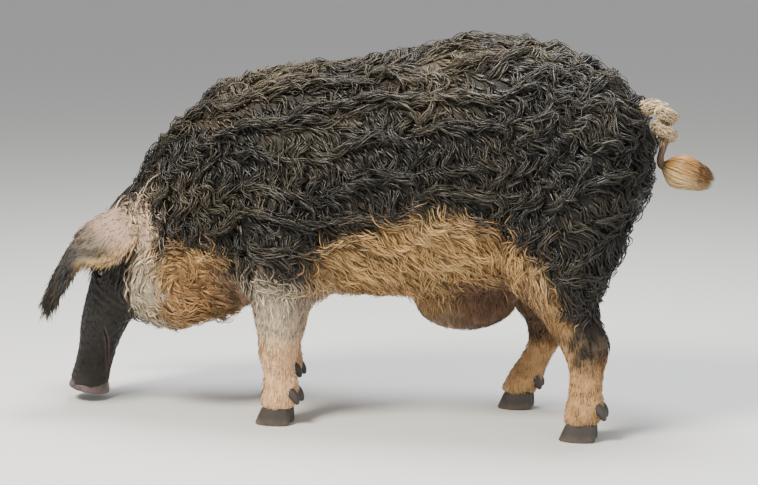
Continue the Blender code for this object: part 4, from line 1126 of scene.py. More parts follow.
def keep_maps(obj, places, per, rng):
    """Two UV maps: Strand runs across and along each tuft, and OFBake sets it as a patch at its place."""
    count = len(places)
    rows = (per - 1) // 3
    across = np.append(np.tile((0.0, 1.0, 0.5), rows), 0.5)
    along = np.append(np.repeat(np.arange(rows) / rows, 3), 1.0)
    flat = np.stack([across, along], -1)
    shift = rng.random((count, 1, 2)) * 40
    strand = (flat[None] + shift).reshape(-1, 2)
    patch = (places[:, None] + (flat[None] - 0.5) * PATCH).reshape(-1, 2)
    corner_ids = np.empty(len(obj.data.loops), np.int32)
    obj.data.loops.foreach_get("vertex_index", corner_ids)
    for name, values in (("OFBake", patch), ("Strand", strand)):
        layer = obj.data.uv_layers.new(name=name)
        layer.uv.foreach_set("vector", values[corner_ids].astype(np.float32).ravel())


def trunk_unwrap(points):
    """The trunk opened out flat: length along the body, and the angle round its middle line."""
    x, y, z = points.T
    middle = np.interp(x, (-0.70, -0.62, -0.45, -0.25, 0.25, 0.56), (0.05, 0.30, 0.36, 0.49, 0.55, 0.60))
    angle = np.arctan2(y, -(z - middle))
    return np.stack([0.03 + 0.94 * (x + 0.72) / 1.44, 0.5 + 0.46 * angle / math.pi], -1)


def leg_unwrap(points):
    """Legs opened out flat, a strip for each: height up the leg, and the angle round it."""
    feet = np.array([(x, y) for x, y, _ in FEET.values()])
    which = np.linalg.norm(points[:, None, :2] - feet[None], axis=2).argmin(1)
    offset = points[:, :2] - feet[which]
    angle = np.arctan2(offset[:, 1], offset[:, 0])
    strip = (which + 0.5 + 0.45 * angle / math.pi) / len(FEET)
    return np.stack([0.03 + 0.94 * points[:, 2] / 0.9, strip], -1)


def on_root(obj, surface_slot, *replaced):
    """Makes obj a piece of the body, hung on the root, in place of any CAD parts named; surface_slot is not
    used.
    """
    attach(obj, "root")
    if replaced:
        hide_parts(*replaced)


def add_coat(name, material, surface_slot, places, paths, outs, widths, heights, colours, rng):
    """One piece of coat from its tufts' paths, with colours and maps, riding on the body.

    A tuft has one colour, or two that run into each other from its root to its tip.
    """
    twist = rng.uniform(-0.9, 0.9, len(paths))
    points, faces, reach, per = tuft_mesh(paths, outs, widths, heights, twist)
    obj = add_mesh(name, points, faces, material)
    point_values(obj, "Reach", reach)
    spread = np.repeat(colours, per, 0)
    if spread.ndim == 3:
        spread = mix(spread[:, 0], spread[:, 1], reach**1.5)
    point_values(obj, "Coat", with_alpha(spread))
    keep_maps(obj, places, per, rng)
    on_root(obj, surface_slot)


# The long coat: how many tufts, the most triangles in a piece, the space between locks, a lock's length, the
# size of the waves and the steps along a lock.
TUFT_COUNT = 25500
COAT_PIECE_TRIANGLES = 190000
LOCK_SPACING = 0.017
LOCK_LENGTH = 0.072
WAVE_SIZE = 0.062
STEPS = 7


def shaggy(points):
    """Where the long coat grows: on the body, sparser on the face, throat, pouch and groin."""
    m = markings(points)
    bare = np.clip(m["throat"] * 0.80 + m["pouch"] * 0.85 + m["groin"] * 0.8, 0, 0.92)
    return smooth_step(0.12, 0.50, coat_share(points)) * (1 - bare) * (1 - 0.75 * m["face"])


def lock_lines(skin, centres, rng):
    """A path over the skin for each lock, shorter on the marks, with a turn and a curl of its own."""
    count = len(centres)
    m = markings(centres)
    fine = np.clip(m["gold"] + m["jowl"], 0, 1)
    short = m["jowl"] * 0.45 + m["gold"] * 0.22 + m["ear patch"] * 0.65 + m["fore top"] * 0.55
    lengths = LOCK_LENGTH * (1 - np.clip(short, 0, 0.72)) * rng.uniform(0.75, 1.25, count)
    lengths = lengths * (0.35 + 0.65 * coat_share(centres))
    own_turn = rng.normal(0, 0.30, count)
    own_curl = rng.normal(0, 9.0, count) + rng.choice((-1, 1), count) * 4.0
    travelled = [0]

    def way_of(spots, normals):
        way = curled(spots, normals, 0.95 - 0.45 * fine, WAVE_SIZE)
        turn = own_turn + own_curl * lengths * travelled[0] / STEPS
        travelled[0] += 1
        return turned(way, normals, turn)

    return paths_over(skin, centres, lengths, STEPS, way_of)


def cut_short(lines, outs, along, stops):
    """Paths that stop at a share of their line's length, and the ways out of the skin along them."""
    at = np.clip(along * stops[:, None], 0, 1) * (STEPS - 1)
    low = np.minimum(at.astype(int), STEPS - 2)
    part = (at - low)[..., None]
    row = np.arange(len(stops))[:, None]
    lines = lines[row, low] * (1 - part) + lines[row, low + 1] * part
    return lines, unit(outs[row, low] * (1 - part) + outs[row, low + 1] * part)


def frizzed(paths, outs, along, rng):
    """Paths with a small spiral of their own that widens towards the tip."""
    count = len(paths)
    aside = np.cross(outs, unit(np.gradient(paths, axis=1)))
    turn = rng.uniform(0, math.tau, (count, 1)) + along * math.tau * rng.uniform(0.8, 2.0, (count, 1))
    reach = (0.0032 * rng.uniform(0.3, 1.0, (count, 1)) * np.sqrt(along))[..., None]
    return paths + reach * (np.cos(turn)[..., None] * aside + 0.6 * np.sin(turn)[..., None] * outs)


def curly_coat(skin, material):
    """The long coat: locks of tufts that leave the skin together, wave over it and close to a point.

    Each lock has a path of its own over the skin. Its tufts start round the lock's root and draw in to the
    path with the share of the length, lifted by a rounded height that is low at the root and at the tip.
    """
    rng = np.random.default_rng(101)
    centres = evened(scatter(skin, 18000, shaggy, rng), LOCK_SPACING)
    roots = scatter(skin, TUFT_COUNT, shaggy, rng)
    lock_paths, lock_outs = lock_lines(skin, centres, rng)
    lock = nearest_of(roots, centres, LOCK_SPACING * 1.5)
    roots, lock = roots[lock >= 0], lock[lock >= 0]
    count = len(roots)
    along = np.linspace(0, 1, STEPS)[None]
    draw_in = 1 - (0.20 + 0.60 * rng.random((count, 1, 1))) * along[..., None]**0.8
    paths = lock_paths[lock] + (roots - lock_paths[lock, 0])[:, None] * draw_in
    # Shorter tufts stop part of the way along their lock, so that tips lie all over it.
    paths, outs = cut_short(paths, lock_outs[lock], along, rng.uniform(0.62, 1.08, count))
    crest = 1 + 0.28 * np.cos(wave_phase(roots, WAVE_SIZE))
    depth = COAT_DEPTH * coat_share(roots) * crest * rng.uniform(0.30, 0.95, count)
    depth = depth * (0.75 + 0.5 * rng.random(len(centres))[lock])
    lift = np.sin(np.minimum(along * 1.25, 1) * math.pi * 0.5) * (1 - 0.50 * along ** 2.5)
    paths = paths + outs * (depth[:, None] * lift - 0.0015 * (1 - along))[..., None]
    paths = frizzed(paths, outs, along, rng)
    tints = np.clip(0.45 * rng.random(len(centres))[lock] + 0.55 * rng.random(count), 0, 1)
    seen = paths[:, STEPS // 2] + rng.normal(0, 0.014, (count, 3))
    colours = hair_colours(seen, tints) * rng.uniform(0.75, 1.25, (count, 1))
    m = markings(seen)
    thin = np.clip(m["gold"] + m["jowl"] + m["ear patch"] + m["fore top"], 0, 1)
    widths = (0.0034 - 0.0012 * thin) * rng.uniform(0.55, 1.2, count)
    # Split into pieces along the body, each within the limit on triangles.
    pieces = math.ceil(count * (6 * STEPS - 8) / COAT_PIECE_TRIANGLES)
    edges = np.quantile(roots[:, 0], np.linspace(0, 1, pieces + 1))
    which = np.searchsorted(edges[1:-1], roots[:, 0], "right")
    for i in range(pieces):
        chosen = which == i
        add_coat(f"coat_{i + 1}", material, "black_coat", trunk_unwrap(roots[chosen]), paths[chosen],
                 outs[chosen], widths[chosen], widths[chosen] * 0.34, colours[chosen], rng)


def short_fur(name, surface, material, surface_slot, count, keep, length, width, lift, unwrap, colour_of,
              seed, steps=4):
    """Short flat tufts over a surface, each following the lie of the hair and lifting a little at its tip."""
    rng = np.random.default_rng(seed)
    roots = scatter(surface, count, keep, rng)
    lengths = (length(roots) if callable(length) else length) * rng.uniform(0.6, 1.3, count)
    own_turn = rng.normal(0, 0.22, count)
    paths, outs = paths_over(surface, roots, lengths, steps,
                             lambda spots, normals: turned(lie(spots, normals), normals, own_turn))
    share = np.linspace(0, 1, steps)
    heights = (lift * rng.uniform(0.3, 1.2, count))[:, None] * share - 0.0008 * (1 - share)
    paths = paths + outs * heights[..., None]
    widths = width * rng.uniform(0.7, 1.2, count)
    colours = colour_of(roots, rng.random(count)) * rng.uniform(0.8, 1.2, (count, 1))
    add_coat(name, material, surface_slot, unwrap(roots), paths, outs, widths, widths * 0.4, colours, rng)


def leg_keep(points):
    """On the legs, above the claws."""
    above_claws = smooth_step(0.031, 0.038, points[:, 2])
    return smooth_step(0.33, 0.24, points[:, 2]) * smooth_step(-0.34, -0.30, points[:, 0]) * above_claws


def leg_length(points):
    """Longer towards the top of the leg."""
    return 0.015 + 0.014 * smooth_step(0.10, 0.25, points[:, 2])


def face_keep(points, eyes):
    """On the face, but not on the lips, in the eyes or on the snout's disc."""
    along = face_coordinates(points)[0]
    away, beside = mouth_line(points)
    lips = hump(0, 0.017, away) * beside * 1.4
    head = smooth_step(-0.50, -0.53, points[:, 0]) * smooth_step(0.405, 0.36, along)
    return head * smooth_step(0.016, 0.024, from_eyes(points, eyes)) * np.clip(1 - lips, 0, 1)


def face_length(points):
    """Shorter towards the snout."""
    return 0.0065 + 0.0075 * smooth_step(0.33, 0.17, face_coordinates(points)[0])


def under_keep(points):
    """Where the coat is thick."""
    return smooth_step(0.3, 0.6, coat_share(points)) * (1 - bare_share(points))


def thin_colours(points, tints):
    """The sparse hair where the skin is bare: brown with gold tints, darker on the pouch, partly its own
    colour and partly painted shadow under the belly.
    """
    colour = mix(THIN_HAIR, GOLD_HAIR, tints * 0.5)
    return mix(colour, SHADED_POUCH_THIN_HAIR, markings(points)["pouch"] * 0.85)


def add_short_furs(skin, smooth_form, eyes, coat_look, fur_look):
    """The short hair of legs and face, the coat's dense under layer and the thin hair on bare skin."""
    short_fur("leg_fur", smooth_form, fur_look, "leg", 10000, leg_keep, leg_length, 0.0020, 0.0034,
              leg_unwrap, hair_colours, 201)
    short_fur("face_fur", skin, fur_look, "face", 7000, lambda points: face_keep(points, eyes), face_length,
              0.0012, 0.0010, trunk_unwrap, hair_colours, 202)
    short_fur("undercoat", smooth_form, coat_look, "black_coat", 7000, under_keep, 0.036, 0.0062, 0.010,
              trunk_unwrap, lambda points, tints: hair_colours(points, tints * 0.8), 204)
    short_fur("thin_fur", smooth_form, fur_look, "black_coat", 2200, bare_share, 0.026, 0.0015, 0.006,
              trunk_unwrap, thin_colours, 203, steps=5)


# Ears

def ear_rows(word, surface, across, along):
    """An ear's middle sheet (along, across, 3), the way out of its back, and the shares of its length.

    Rows run from the front edge to the rear edge and from the root to the tip; the sides bend in towards the
    face, and past its middle the ear turns so that its width lies across the face.
    """
    side = -1 if word == "left" else 1
    mirror = np.array([1, side, 1])
    front, rear, tip, turned = (np.array(p) * mirror for p in (*EAR_BASE, EAR_TIP, EAR_TURNED))
    base = (front + rear) / 2
    length_way = tip - base
    base_way = unit(rear - front)
    shares = np.linspace(EAR_STATIONS[0][0], 1, along)
    knots = spline(EAR_STATIONS, 200)
    width = np.interp(shares, knots[:, 0], knots[:, 1])[:, None]
    shift = np.interp(shares, knots[:, 0], knots[:, 2])[:, None]
    u = np.linspace(-1, 1, across)[None]
    turning = smooth_step(0.34, 0.52, shares)[:, None]
    wide = unit(base_way * (1 - turning) + turned * turning)
    out = unit(np.cross(length_way, wide)) * side * -1
    inside = np.clip(shares, 0, 1)[:, None]
    cup = EAR_CUP * (1 - 0.88 * inside) * (u**2 + 0.35 * np.maximum(u, 0) ** 3)
    arch = out * np.sin(math.pi * inside) * EAR_ARCH
    centre = base + length_way * shares[:, None] + arch + base_way * shift
    grid = centre[:, None] + (u * width / 2)[..., None] * wide[:, None]
    grid = grid - (cup - EAR_CUP * 0.3)[..., None] * out[:, None]
    root_row = int(np.argmin(np.abs(shares - EAR_STATIONS[0][0] * 0.3)))
    spots, normals = on_surface(grid[root_row], surface)
    rooted = (coat_share(spots) * COAT_DEPTH * CORE_SHARE - 0.007)[:, None]
    shift_in = spots + normals * rooted - grid[root_row]
    grid = grid + shift_in[None] * (1 - inside[..., None]) ** 3
    normal = unit(np.cross(np.gradient(grid, axis=0), np.gradient(grid, axis=1))) * side * -1
    ripple = 0.0012 * np.sin(u * 9 + inside * 14) * np.sin(math.pi * inside)
    return grid + normal * ripple[..., None], normal, shares


def ear_colours(shares, u, outer):
    """Grey-pink, brown, then black to the tip on the back; pink-brown within, and tan on the rear rim."""
    rim = smooth_step(0.60, 0.95, u) * smooth_step(0.60, 0.35, shares)
    back = mix(EAR_ROOT, EAR_MIDDLE, smooth_step(0.12, 0.34, shares))
    back = mix(back, EAR_END, smooth_step(0.32, 0.56, shares + 0.06 * u))
    inner = mix(EAR_INSIDE, EAR_INSIDE_END, smooth_step(0.25, 0.70, shares))
    return mix(mix(inner, back, outer), EAR_RIM, rim * 0.85)


def add_ear(word, surface, material):
    """An ear as a thin curved shell with a rounded edge: two sheets either side of the middle one."""
    across, along = 33, 49
    grid, normal, shares = ear_rows(word, surface, across, along)
    u = np.linspace(-1, 1, across)[None]
    thick = np.interp(shares, (0, 1), EAR_THICKNESS)[:, None] * (1 - np.abs(u) ** 5) ** 0.5 / 2 + 0.0004
    thick = thick * np.clip((1.0 - shares)[:, None] * 14 + 0.12, 0, 1)
    back, inner = grid + normal * thick[..., None], grid - normal * thick[..., None]
    points = np.vstack([back.reshape(-1, 3), inner.reshape(-1, 3)])
    total = along * across
    sheet = grid_faces(along, across, False)
    edge = np.concatenate([np.arange(along) * across, (along - 1) * across + np.arange(1, across),
                           np.arange(along - 2, -1, -1) * across + across - 1, np.arange(across - 2, 0, -1)])
    following = np.roll(edge, -1)
    rim = np.stack([edge, following, following + total, edge + total], 1)
    obj = outward(add_mesh(f"ear_{word}_skin", points, [sheet, sheet[:, ::-1] + total, rim], material))
    rows, columns = np.broadcast_arrays(shares[:, None], u)
    colours = np.vstack([ear_colours(rows.ravel(), columns.ravel(), np.full(total, outer))
                         for outer in (1.0, 0.0)])
    point_values(obj, "Coat", with_alpha(colours))
    on_root(obj, "ear", f"ear_{word}")
    return grid, normal, shares


def sample(table, rows, columns):
    """A table's values at places between its rows and columns."""
    i, j = rows.astype(int), columns.astype(int)
    s, t = (rows - i)[:, None], (columns - j)[:, None]
    return ((table[i, j] * (1 - s) + table[i + 1, j] * s) * (1 - t)
            + (table[i, j + 1] * (1 - s) + table[i + 1, j + 1] * s) * t)


def ear_fur(word, grid, normal, shares, material, seed):
    """Thin hair on both faces of an ear and a longer dark fringe along its edges and tip."""
    rng = np.random.default_rng(seed)
    along, across = grid.shape[:2]
    count, fringe = 2300, 950
    r = np.concatenate([rng.random(count) * (along - 1.001), rng.beta(2.2, 1.2, fringe) * (along - 1.001)])
    c = np.concatenate([rng.random(count) * (across - 1.001),
                        np.where(rng.random(fringe) < 0.5, rng.uniform(0, 1.2, fringe),
                                 across - 1.001 - rng.uniform(0, 1.2, fringe))])
    edge = np.arange(count + fringe) >= count
    tip = smooth_step(0.55, 1.0, r / along)
    lengths = np.where(edge, 0.016 + 0.021 * tip, 0.014 + 0.010 * tip) * rng.uniform(0.5, 1.4, len(r))
    face = np.where(rng.random(len(r)) < 0.72, 1.0, -1.0)
    roots, out = sample(grid, r, c), unit(sample(normal, r, c)) * face[:, None]
    down = sample(unit(np.gradient(grid, axis=0)), r, c)
    aside = sample(unit(np.gradient(grid, axis=1)), r, c) * np.sign(c / across - 0.5)[:, None]
    way = unit(down + aside * np.where(edge, 0.55, 0.10)[:, None] + rng.normal(0, 0.16, (len(r), 3)))
    share = np.linspace(0, 1, 4)[None, :, None]
    thick = np.interp(r / along, (0, 1), EAR_THICKNESS)[:, None, None] / 2 * 0.7
    rise = np.where(edge, 0.0035, 0.0022)[:, None, None] * share
    curl = out[:, None] * (thick + rise) + way[:, None] * lengths[:, None, None] * share
    droop = np.array((0, 0, -1.0)) * (lengths[:, None, None] * 0.22) * share**2
    paths = roots[:, None] + curl + droop
    outs = np.repeat(out[:, None], 4, 1)
    u = c / across * 2 - 1
    tones = ear_colours(shares[r.astype(int)], u, (face > 0).astype(float))
    tones = mix(tones, EAR_PALE_HAIR, smooth_step(0.42, 0.12, r / along) * rng.random(len(r)) * 0.75)
    tones = mix(tones, EAR_BROWN_HAIR, (rng.random(len(r)) < 0.30) * 0.70)
    widths = np.where(edge, 0.0019, 0.0014) * rng.uniform(0.7, 1.3, len(r))
    places = np.stack([0.05 + 0.9 * r / along, 0.05 + 0.4 * c / across + 0.5 * (face < 0)], -1)
    add_coat(f"ear_{word}_fur", material, "ear", places, paths, outs, widths, widths * 0.4, tones, rng)


# Snout, eyes, tail and claws

def add_snout(material):
    """The snout's disc: ovals from inside the muzzle over a rounded rim to a dished face with nostrils."""
    count, rings = 96, 34
    share = np.linspace(0, 1, rings)[:, None]
    turn = angles_round(count)[None]
    rim = 0.30
    inward = np.clip((share - rim) / (1 - rim), 0, 1)
    bulge = np.sin(np.clip(share / rim, 0, 1) * math.pi * 0.5)
    scale = (0.86 + 0.15 * bulge ** 0.7) * (1 - inward) ** 0.82
    back = np.where(share < rim, DISC_DEPTH * 1.5 * np.maximum(1 - share / rim, 0) ** 1.3, 0)
    back = back + 0.0032 * smooth_step(0, 0.35, inward)
    back = back - 0.0016 * hump(1.0, 0.5, inward) + 0.0005 * np.sin(turn * 11) * hump(0.12, 0.14, inward)
    lean = 1 + 0.05 * np.cos(turn * 2) + 0.03 * np.cos(turn)
    tall, wide = np.cos(turn) * DISC_HEIGHT / 2 * scale * lean, np.sin(turn) * DISC_WIDTH / 2 * scale * lean
    hollow = np.zeros_like(tall)
    for side in (-1, 1):
        u, v = (tall + 0.002) / 0.0105, (wide - side * NOSTRIL_SPREAD) / 0.0078
        nostril = np.hypot(u, v - 0.25 * side * u)
        hollow = hollow + 0.013 * smooth_step(1.0, 0.55, nostril) - 0.0014 * hump(1.28, 0.26, nostril)
    depth = back + hollow * (share >= rim)
    points = DISC_CENTRE + tall[..., None] * THROAT_WAY + wide[..., None] * SIDE_WAY
    points = points - depth[..., None] * FACE_WAY
    on_root(outward(add_mesh("snout_skin", *lofted(points), material)), "snout", "snout_disc")


def add_eye(word, eye, material):
    """An eyeball: rings about the way it looks, with the cornea's low bulge over the iris."""
    centre, look, front, up = eye
    tilt = np.linspace(0.03, math.pi - 0.03, 40)[:, None, None]
    turn = angles_round(48)[None, :, None]
    radius = (EYE_RADIUS - 0.0004) * (1 + 0.035 * hump(0, 0.55, tilt))
    around = np.cos(turn) * front + np.sin(turn) * up
    points = centre + radius * (np.cos(tilt) * look + np.sin(tilt) * around)
    obj = outward(add_mesh(f"eyeball_{word}", *lofted(points), material))
    reach = np.clip(np.arccos(np.clip(unit(points_of(obj) - centre) @ look, -1, 1)) / 1.25, 0, 1)
    point_values(obj, "Reach", reach)
    on_root(obj, "eye", f"eye_{word}")


def add_lashes(eyes, material):
    """Dark lashes in a row along each upper lid, curving out and down."""
    rng = np.random.default_rng(71)
    roots, paths, outs = [], [], []
    for centre, look, front, up in eyes.values():
        turn = np.linspace(0.25, math.pi - 0.25, 34)[:, None]
        lid = centre + np.cos(turn) * front * 0.0135 + np.sin(turn) * up * 0.0088 + look * 0.0088
        share = np.linspace(0, 1, 5)[None, :, None]
        reach = rng.uniform(0.009, 0.014, (34, 1, 1))
        way = unit(look * 1.0 + up * 0.15 + np.cos(turn) * front * 0.5)[:, None]
        path = lid[:, None] + way * reach * share - up * reach * 0.55 * share**2
        roots.append(lid)
        paths.append(path)
        outs.append(np.broadcast_to(up, path.shape))
    roots, paths, outs = np.vstack(roots), np.vstack(paths), np.vstack(outs)
    widths = np.full(len(roots), 0.0008)
    colours = np.tile(np.array(DARK_SKIN) * 0.6, (len(roots), 1))
    add_coat("lashes", material, "face", trunk_unwrap(roots), paths, outs, widths, widths * 0.6, colours, rng)


def tail_rows():
    """Points and radii down the tail: its root, a hanging ringlet, a drop and the tassel's core."""
    turns = np.linspace(0, RINGLET_TURNS, 13)
    angle = math.pi + turns * math.tau
    ringlet = np.column_stack([RINGLET_CENTRE[0] + RINGLET_RADIUS * np.cos(angle),
                               RINGLET_CENTRE[1] + RINGLET_RADIUS * np.sin(angle),
                               np.linspace(RINGLET_TOP, RINGLET_BOTTOM, 13), np.linspace(0.0125, 0.0090, 13)])
    return spline(np.vstack([TAIL_ROOT, TAIL_LEAD, ringlet, TAIL_DROP]), 150)


def add_tail(skin_look, hair_look):
    """The tail's skin as a tube, with short pale hair along it."""
    rows = tail_rows()
    rings = tube_rings(rows[:, :3], rows[:, 3] * 0.86, 20)
    obj = outward(add_mesh("tail_skin", *lofted(rings), skin_look))
    drop = smooth_step(0.612, 0.590, points_of(obj)[:, 2])
    point_values(obj, "Coat", with_alpha(mix(TAIL_SKIN, TAIL_DARK_SKIN, drop)))
    on_root(obj, "tail_hair", "tail")
    rng = np.random.default_rng(81)
    count = 1700
    at = rng.beta(1.0, 1.15, count) * (len(rows) - 30)
    i = at.astype(int)
    ways = unit(np.gradient(rows[:, :3], axis=0))[i]
    out = unit(np.cross(ways, unit(rng.normal(size=(count, 3)))))
    share = np.linspace(0, 1, 5)[None, :, None]
    length = rng.uniform(0.012, 0.024, (count, 1, 1))
    start = rows[i, :3] + out * (rows[i, 3] * 0.80)[:, None]
    swirl = np.cross(ways, out)[:, None]
    raised = out[:, None] * (0.0030 * np.sin(math.pi * share * 0.9))
    paths = (start[:, None] + ways[:, None] * length * share + raised
             + swirl * length * rng.uniform(-0.35, 0.35, (count, 1, 1)) * share**1.5)
    tone = mix(TAIL_PALE_HAIR, TAIL_TAN_HAIR, rng.random(count))
    tone = mix(tone, TAIL_DARK_HAIR, smooth_step(0.612, 0.592, start[:, 2]) * 0.85)
    widths = 0.0022 * rng.uniform(0.7, 1.3, count)
    tone = tone * rng.uniform(0.8, 1.15, (count, 1))
    angle = np.arctan2(out[:, 1], out[:, 2])
    places = np.stack([0.05 + 0.9 * at / len(rows), 0.5 + 0.45 * angle / math.pi], -1)
    add_coat("tail_fur", hair_look, "tail_hair", places, paths, np.repeat(out[:, None], 5, 1), widths,
             widths * 0.4, tone, rng)


def add_tassel(hair_look):
    """The tassel: long thin locks that fan out from the tail's end into a brush with a blunt rounded end."""
    rng = np.random.default_rng(82)
    count, steps = 1200, 8
    way = unit(TASSEL_TIP - TASSEL_ROOT)
    reach = np.linalg.norm(TASSEL_TIP - TASSEL_ROOT)
    up = np.cross(SIDE_WAY, way)
    turn = rng.uniform(0, math.tau, count)[:, None]
    spread = np.sqrt(rng.random(count))[:, None, None] * TASSEL_THICKNESS * 0.5
    out = SIDE_WAY * np.cos(turn) + up * np.sin(turn)
    share = np.linspace(0, 1, steps)[None, :, None]
    bulge = np.sin(np.minimum(share * 1.75, 1) * math.pi * 0.5) - 0.30 * share**3
    rounded = np.sqrt(1 - 0.92 * (2 * spread / TASSEL_THICKNESS) ** 2)
    long = reach * rng.uniform(0.90, 1.0, (count, 1, 1)) * (0.52 + 0.48 * rounded)
    start = TASSEL_ROOT + way * 0.002 + out * 0.006
    curve = 0.005 * np.sin(share * math.pi * 1.3 + turn[:, None] * 2)
    bend = np.cross(out, way)[:, None] * curve * rng.uniform(0.2, 1.0, (count, 1, 1))
    fan = out[:, None] * spread * bulge * 0.82
    paths = start[:, None] + way * long * share + fan + bend - up * 0.004 * share**2
    shade = rng.random(count)
    # Locks on the tassel's upper side are paler and those underneath darker: painted light from above and
    # painted shade below.
    upper = smooth_step(-0.7, 0.8, (out * up).sum(-1))
    tone = mix(TASSEL_SHADED_LOW_HAIR, TASSEL_LIT_TOP_HAIR, upper)
    tone = mix(tone, TASSEL_RUST_HAIR, smooth_step(0.6, 1.0, shade) * 0.6)
    # The dark tips are lightened on the upper side: painted light there as well.
    tone = np.stack([tone, mix(TASSEL_DARK_HAIR, tone, upper * 0.45)], 1)
    widths = 0.0034 * rng.uniform(0.6, 1.2, count)
    tone = tone * rng.uniform(0.8, 1.15, (count, 1, 1))
    places = np.stack([0.05 + 0.9 * shade, 0.5 + 0.45 * (turn[:, 0] - math.pi) / math.pi], -1)
    add_coat("tassel", hair_look, "tail_hair", places, paths, np.repeat(out[:, None], steps, 1), widths,
             widths * 0.45, tone, rng)


# A main claw's sections: height, x past the foot, half length and half width.
CLAW_RINGS = (
    (0.0000, -0.0100, 0.0335, 0.0136),
    (0.0012, -0.0100, 0.0352, 0.0152),
    (0.0040, -0.0098, 0.0372, 0.0165),
    (0.0140, -0.0075, 0.0356, 0.0172),
    (0.0240, -0.0055, 0.0330, 0.0165),
    (0.0340, -0.0040, 0.0300, 0.0155),
    (0.0400, -0.0030, 0.0250, 0.0135),
)
CLAW_SPREAD = 0.0190
# A dewclaw's stations: x past the foot, height and radius.
DEWCLAW_STATIONS = (
    (0.0180, 0.0810, 0.0080),
    (0.0230, 0.0780, 0.0092),
    (0.0330, 0.0700, 0.0105),
    (0.0400, 0.0610, 0.0094),
    (0.0440, 0.0520, 0.0066),
    (0.0455, 0.0465, 0.0032),
)
DEWCLAW_SPREAD = 0.0185


def claw_rings(foot, side):
    """One main claw: ovals pointed at the front, from the flat sole up into the leg, through the stations."""
    x, y, _ = FEET[foot]
    rows = spline(CLAW_RINGS, 26)
    rows[:, 0] = np.maximum(rows[:, 0], 0)
    turn = angles_round(48)[None]
    point = 1 - 0.20 * np.maximum(-np.cos(turn), 0) ** 1.5
    ring_x = x + rows[:, 1:2] + rows[:, 2:3] * rounded_off(np.cos(turn), 0.92)
    ring_y = y + side * CLAW_SPREAD + rows[:, 3:4] * point * np.sin(turn)
    return np.stack([ring_x, ring_y, np.broadcast_to(rows[:, 0:1], ring_x.shape)], -1)


def dewclaw_rings(foot, side):
    """One small claw behind the pastern: circles along a short curve down and back."""
    x, y, _ = FEET[foot]
    rows = spline(DEWCLAW_STATIONS, 18)
    path = np.column_stack([x + rows[:, 0], np.full(len(rows), y + side * DEWCLAW_SPREAD), rows[:, 1]])
    return tube_rings(path, rows[:, 2], 24)


def add_claws(material):
    """All claws, each in place of its solid."""
    for foot, (_, foot_y, _) in FEET.items():
        for word, side in (("inner", -1), ("outer", 1)):
            away = side * math.copysign(1, foot_y)
            for kind, rings in (("claw", claw_rings(foot, away)), ("dewclaw", dewclaw_rings(foot, away))):
                obj = outward(add_mesh(f"{kind}_horn_{foot}_{word}", *lofted(rings), material))
                on_root(obj, "claw", f"{kind}_{foot}_{word}")


# The stage

def add_floor():
    """A wide plain floor."""
    data = bpy.data.meshes.new("floor")
    corners = [(x * 400.0, y * 400.0, 0) for x, y in ((-1, -1), (1, -1), (1, 1), (-1, 1))]
    data.from_pydata(corners, [], [(0, 1, 2, 3)])
    material, _, shader = new_material("pale floor", 0.9)
    shader.inputs["Base Color"].default_value = (0.60, 0.60, 0.585, 1)
    data.materials.append(material)
    return linked("floor", data)


def add_light(name, place, size, power, colour):
    """A round light turned to the middle of the body."""
    light = bpy.data.lights.new(name, "AREA")
    light.shape = "DISK"
    light.size = size
    light.energy = power
    light.color = colour
    obj = linked(name, light)
    obj.location = place
    obj.rotation_euler = (Vector((0, 0, 0.4)) - Vector(place)).to_track_quat("-Z", "Y").to_euler()
    return obj


def add_stage():
    """A plain pale floor, a warm key light, a cool light from above, a weak fill, and an even surround."""
    add_floor()
    add_light("key", (-1.3, -2.4, 3.3), 1.3, 360.0, (1.0, 0.94, 0.83))
    add_light("top", (0.3, 0.5, 3.4), 1.8, 200.0, (0.95, 0.97, 1.0))
    add_light("fill", (2.8, -2.4, 1.4), 2.4, 40.0, (1.0, 0.97, 0.93))
    world = bpy.data.worlds.new("surround")
    bpy.context.scene.world = world
    world.use_nodes = True
    background = world.node_tree.nodes["Background"]
    background.inputs["Color"].default_value = (0.97, 0.98, 1.0, 1)
    background.inputs["Strength"].default_value = 0.58


CAMERA_AZIMUTH = 13.0
CAMERA_ELEVATION = 8.5
CAMERA_DISTANCE = 4.2
CAMERA_TARGET = Vector((0, 0, 0.374))
CAMERA_LENS = 93.5


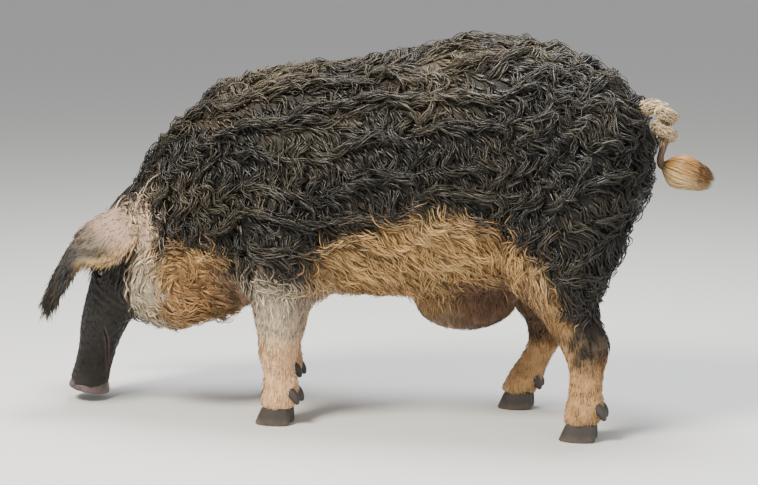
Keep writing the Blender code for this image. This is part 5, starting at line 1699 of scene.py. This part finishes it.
def add_camera():
    """The photograph's camera: to the pig's left and a little behind the middle, just above its back."""
    turn, rise = math.radians(CAMERA_AZIMUTH), math.radians(CAMERA_ELEVATION)
    away = Vector((math.sin(turn) * math.cos(rise), -math.cos(turn) * math.cos(rise), math.sin(rise)))
    camera = linked("camera", bpy.data.cameras.new("camera"))
    camera.location = CAMERA_TARGET + away * CAMERA_DISTANCE
    camera.rotation_euler = (-away).to_track_quat("-Z", "Y").to_euler()
    camera.data.lens = CAMERA_LENS
    camera.data.sensor_width = 36.0
    bpy.context.scene.camera = camera


def add_skin(eyes, look):
    """The skin of the whole body, and a copy without mouth, lids and wrinkles for the coat to lie on."""
    skin = fused_form()
    refined(skin, lambda points: points[:, 0] < HEAD_FRONT)
    refined(skin, lambda points: points[:, 0] < FACE_FRONT)
    refined(skin, lambda points: from_eyes(points, eyes) < 0.034)
    smooth_form = linked("form", skin.data.copy())
    carve_head(skin, eyes)
    wrinkle_body(skin)
    point_values(skin, "Coat", with_alpha(skin_colours(points_of(skin))))
    skin.data.materials.clear()
    skin.data.materials.append(look)
    skin.data.shade_smooth()
    on_root(skin, "face", "head", "muzzle", "neck", "torso", "hindquarters", "foreleg_left", "foreleg_right",
            "hindleg_left", "hindleg_right")
    return skin, smooth_form


def main():
    """Materials first, then the skin, the coat and the other parts, and the stage and camera last."""
    pebbles = pebble_group()
    strands = strand_group()
    skin_look = skin_material(pebbles)
    coat_look = hair_material(strands, "curly coat hair", 0.42, 0.42, 0.62, 0.48)
    fur_look = hair_material(strands, "short hair", 0.52, 0.80, 0.85, 0.30)
    tail_look = hair_material(strands, "tassel hair", 0.48, 0.75, 0.80, 0.35)
    ear_look = ear_material(pebbles)
    eye_look = eye_material()

    eyes = eye_frames()
    skin, smooth_form = add_skin(eyes, skin_look)
    curly_coat(smooth_form, coat_look)
    add_short_furs(skin, smooth_form, eyes, coat_look, fur_look)
    for word, seed in (("left", 91), ("right", 92)):
        grid, normal, shares = add_ear(word, smooth_form, ear_look)
        ear_fur(word, grid, normal, shares, fur_look, seed)
    bpy.data.objects.remove(smooth_form)

    add_snout(snout_material(pebbles))
    for word, eye in eyes.items():
        add_eye(word, eye, eye_look)
    add_lashes(eyes, fur_look)
    add_tail(skin_look, tail_look)
    add_tassel(tail_look)
    add_claws(claw_material())
    add_stage()
    add_camera()


main()
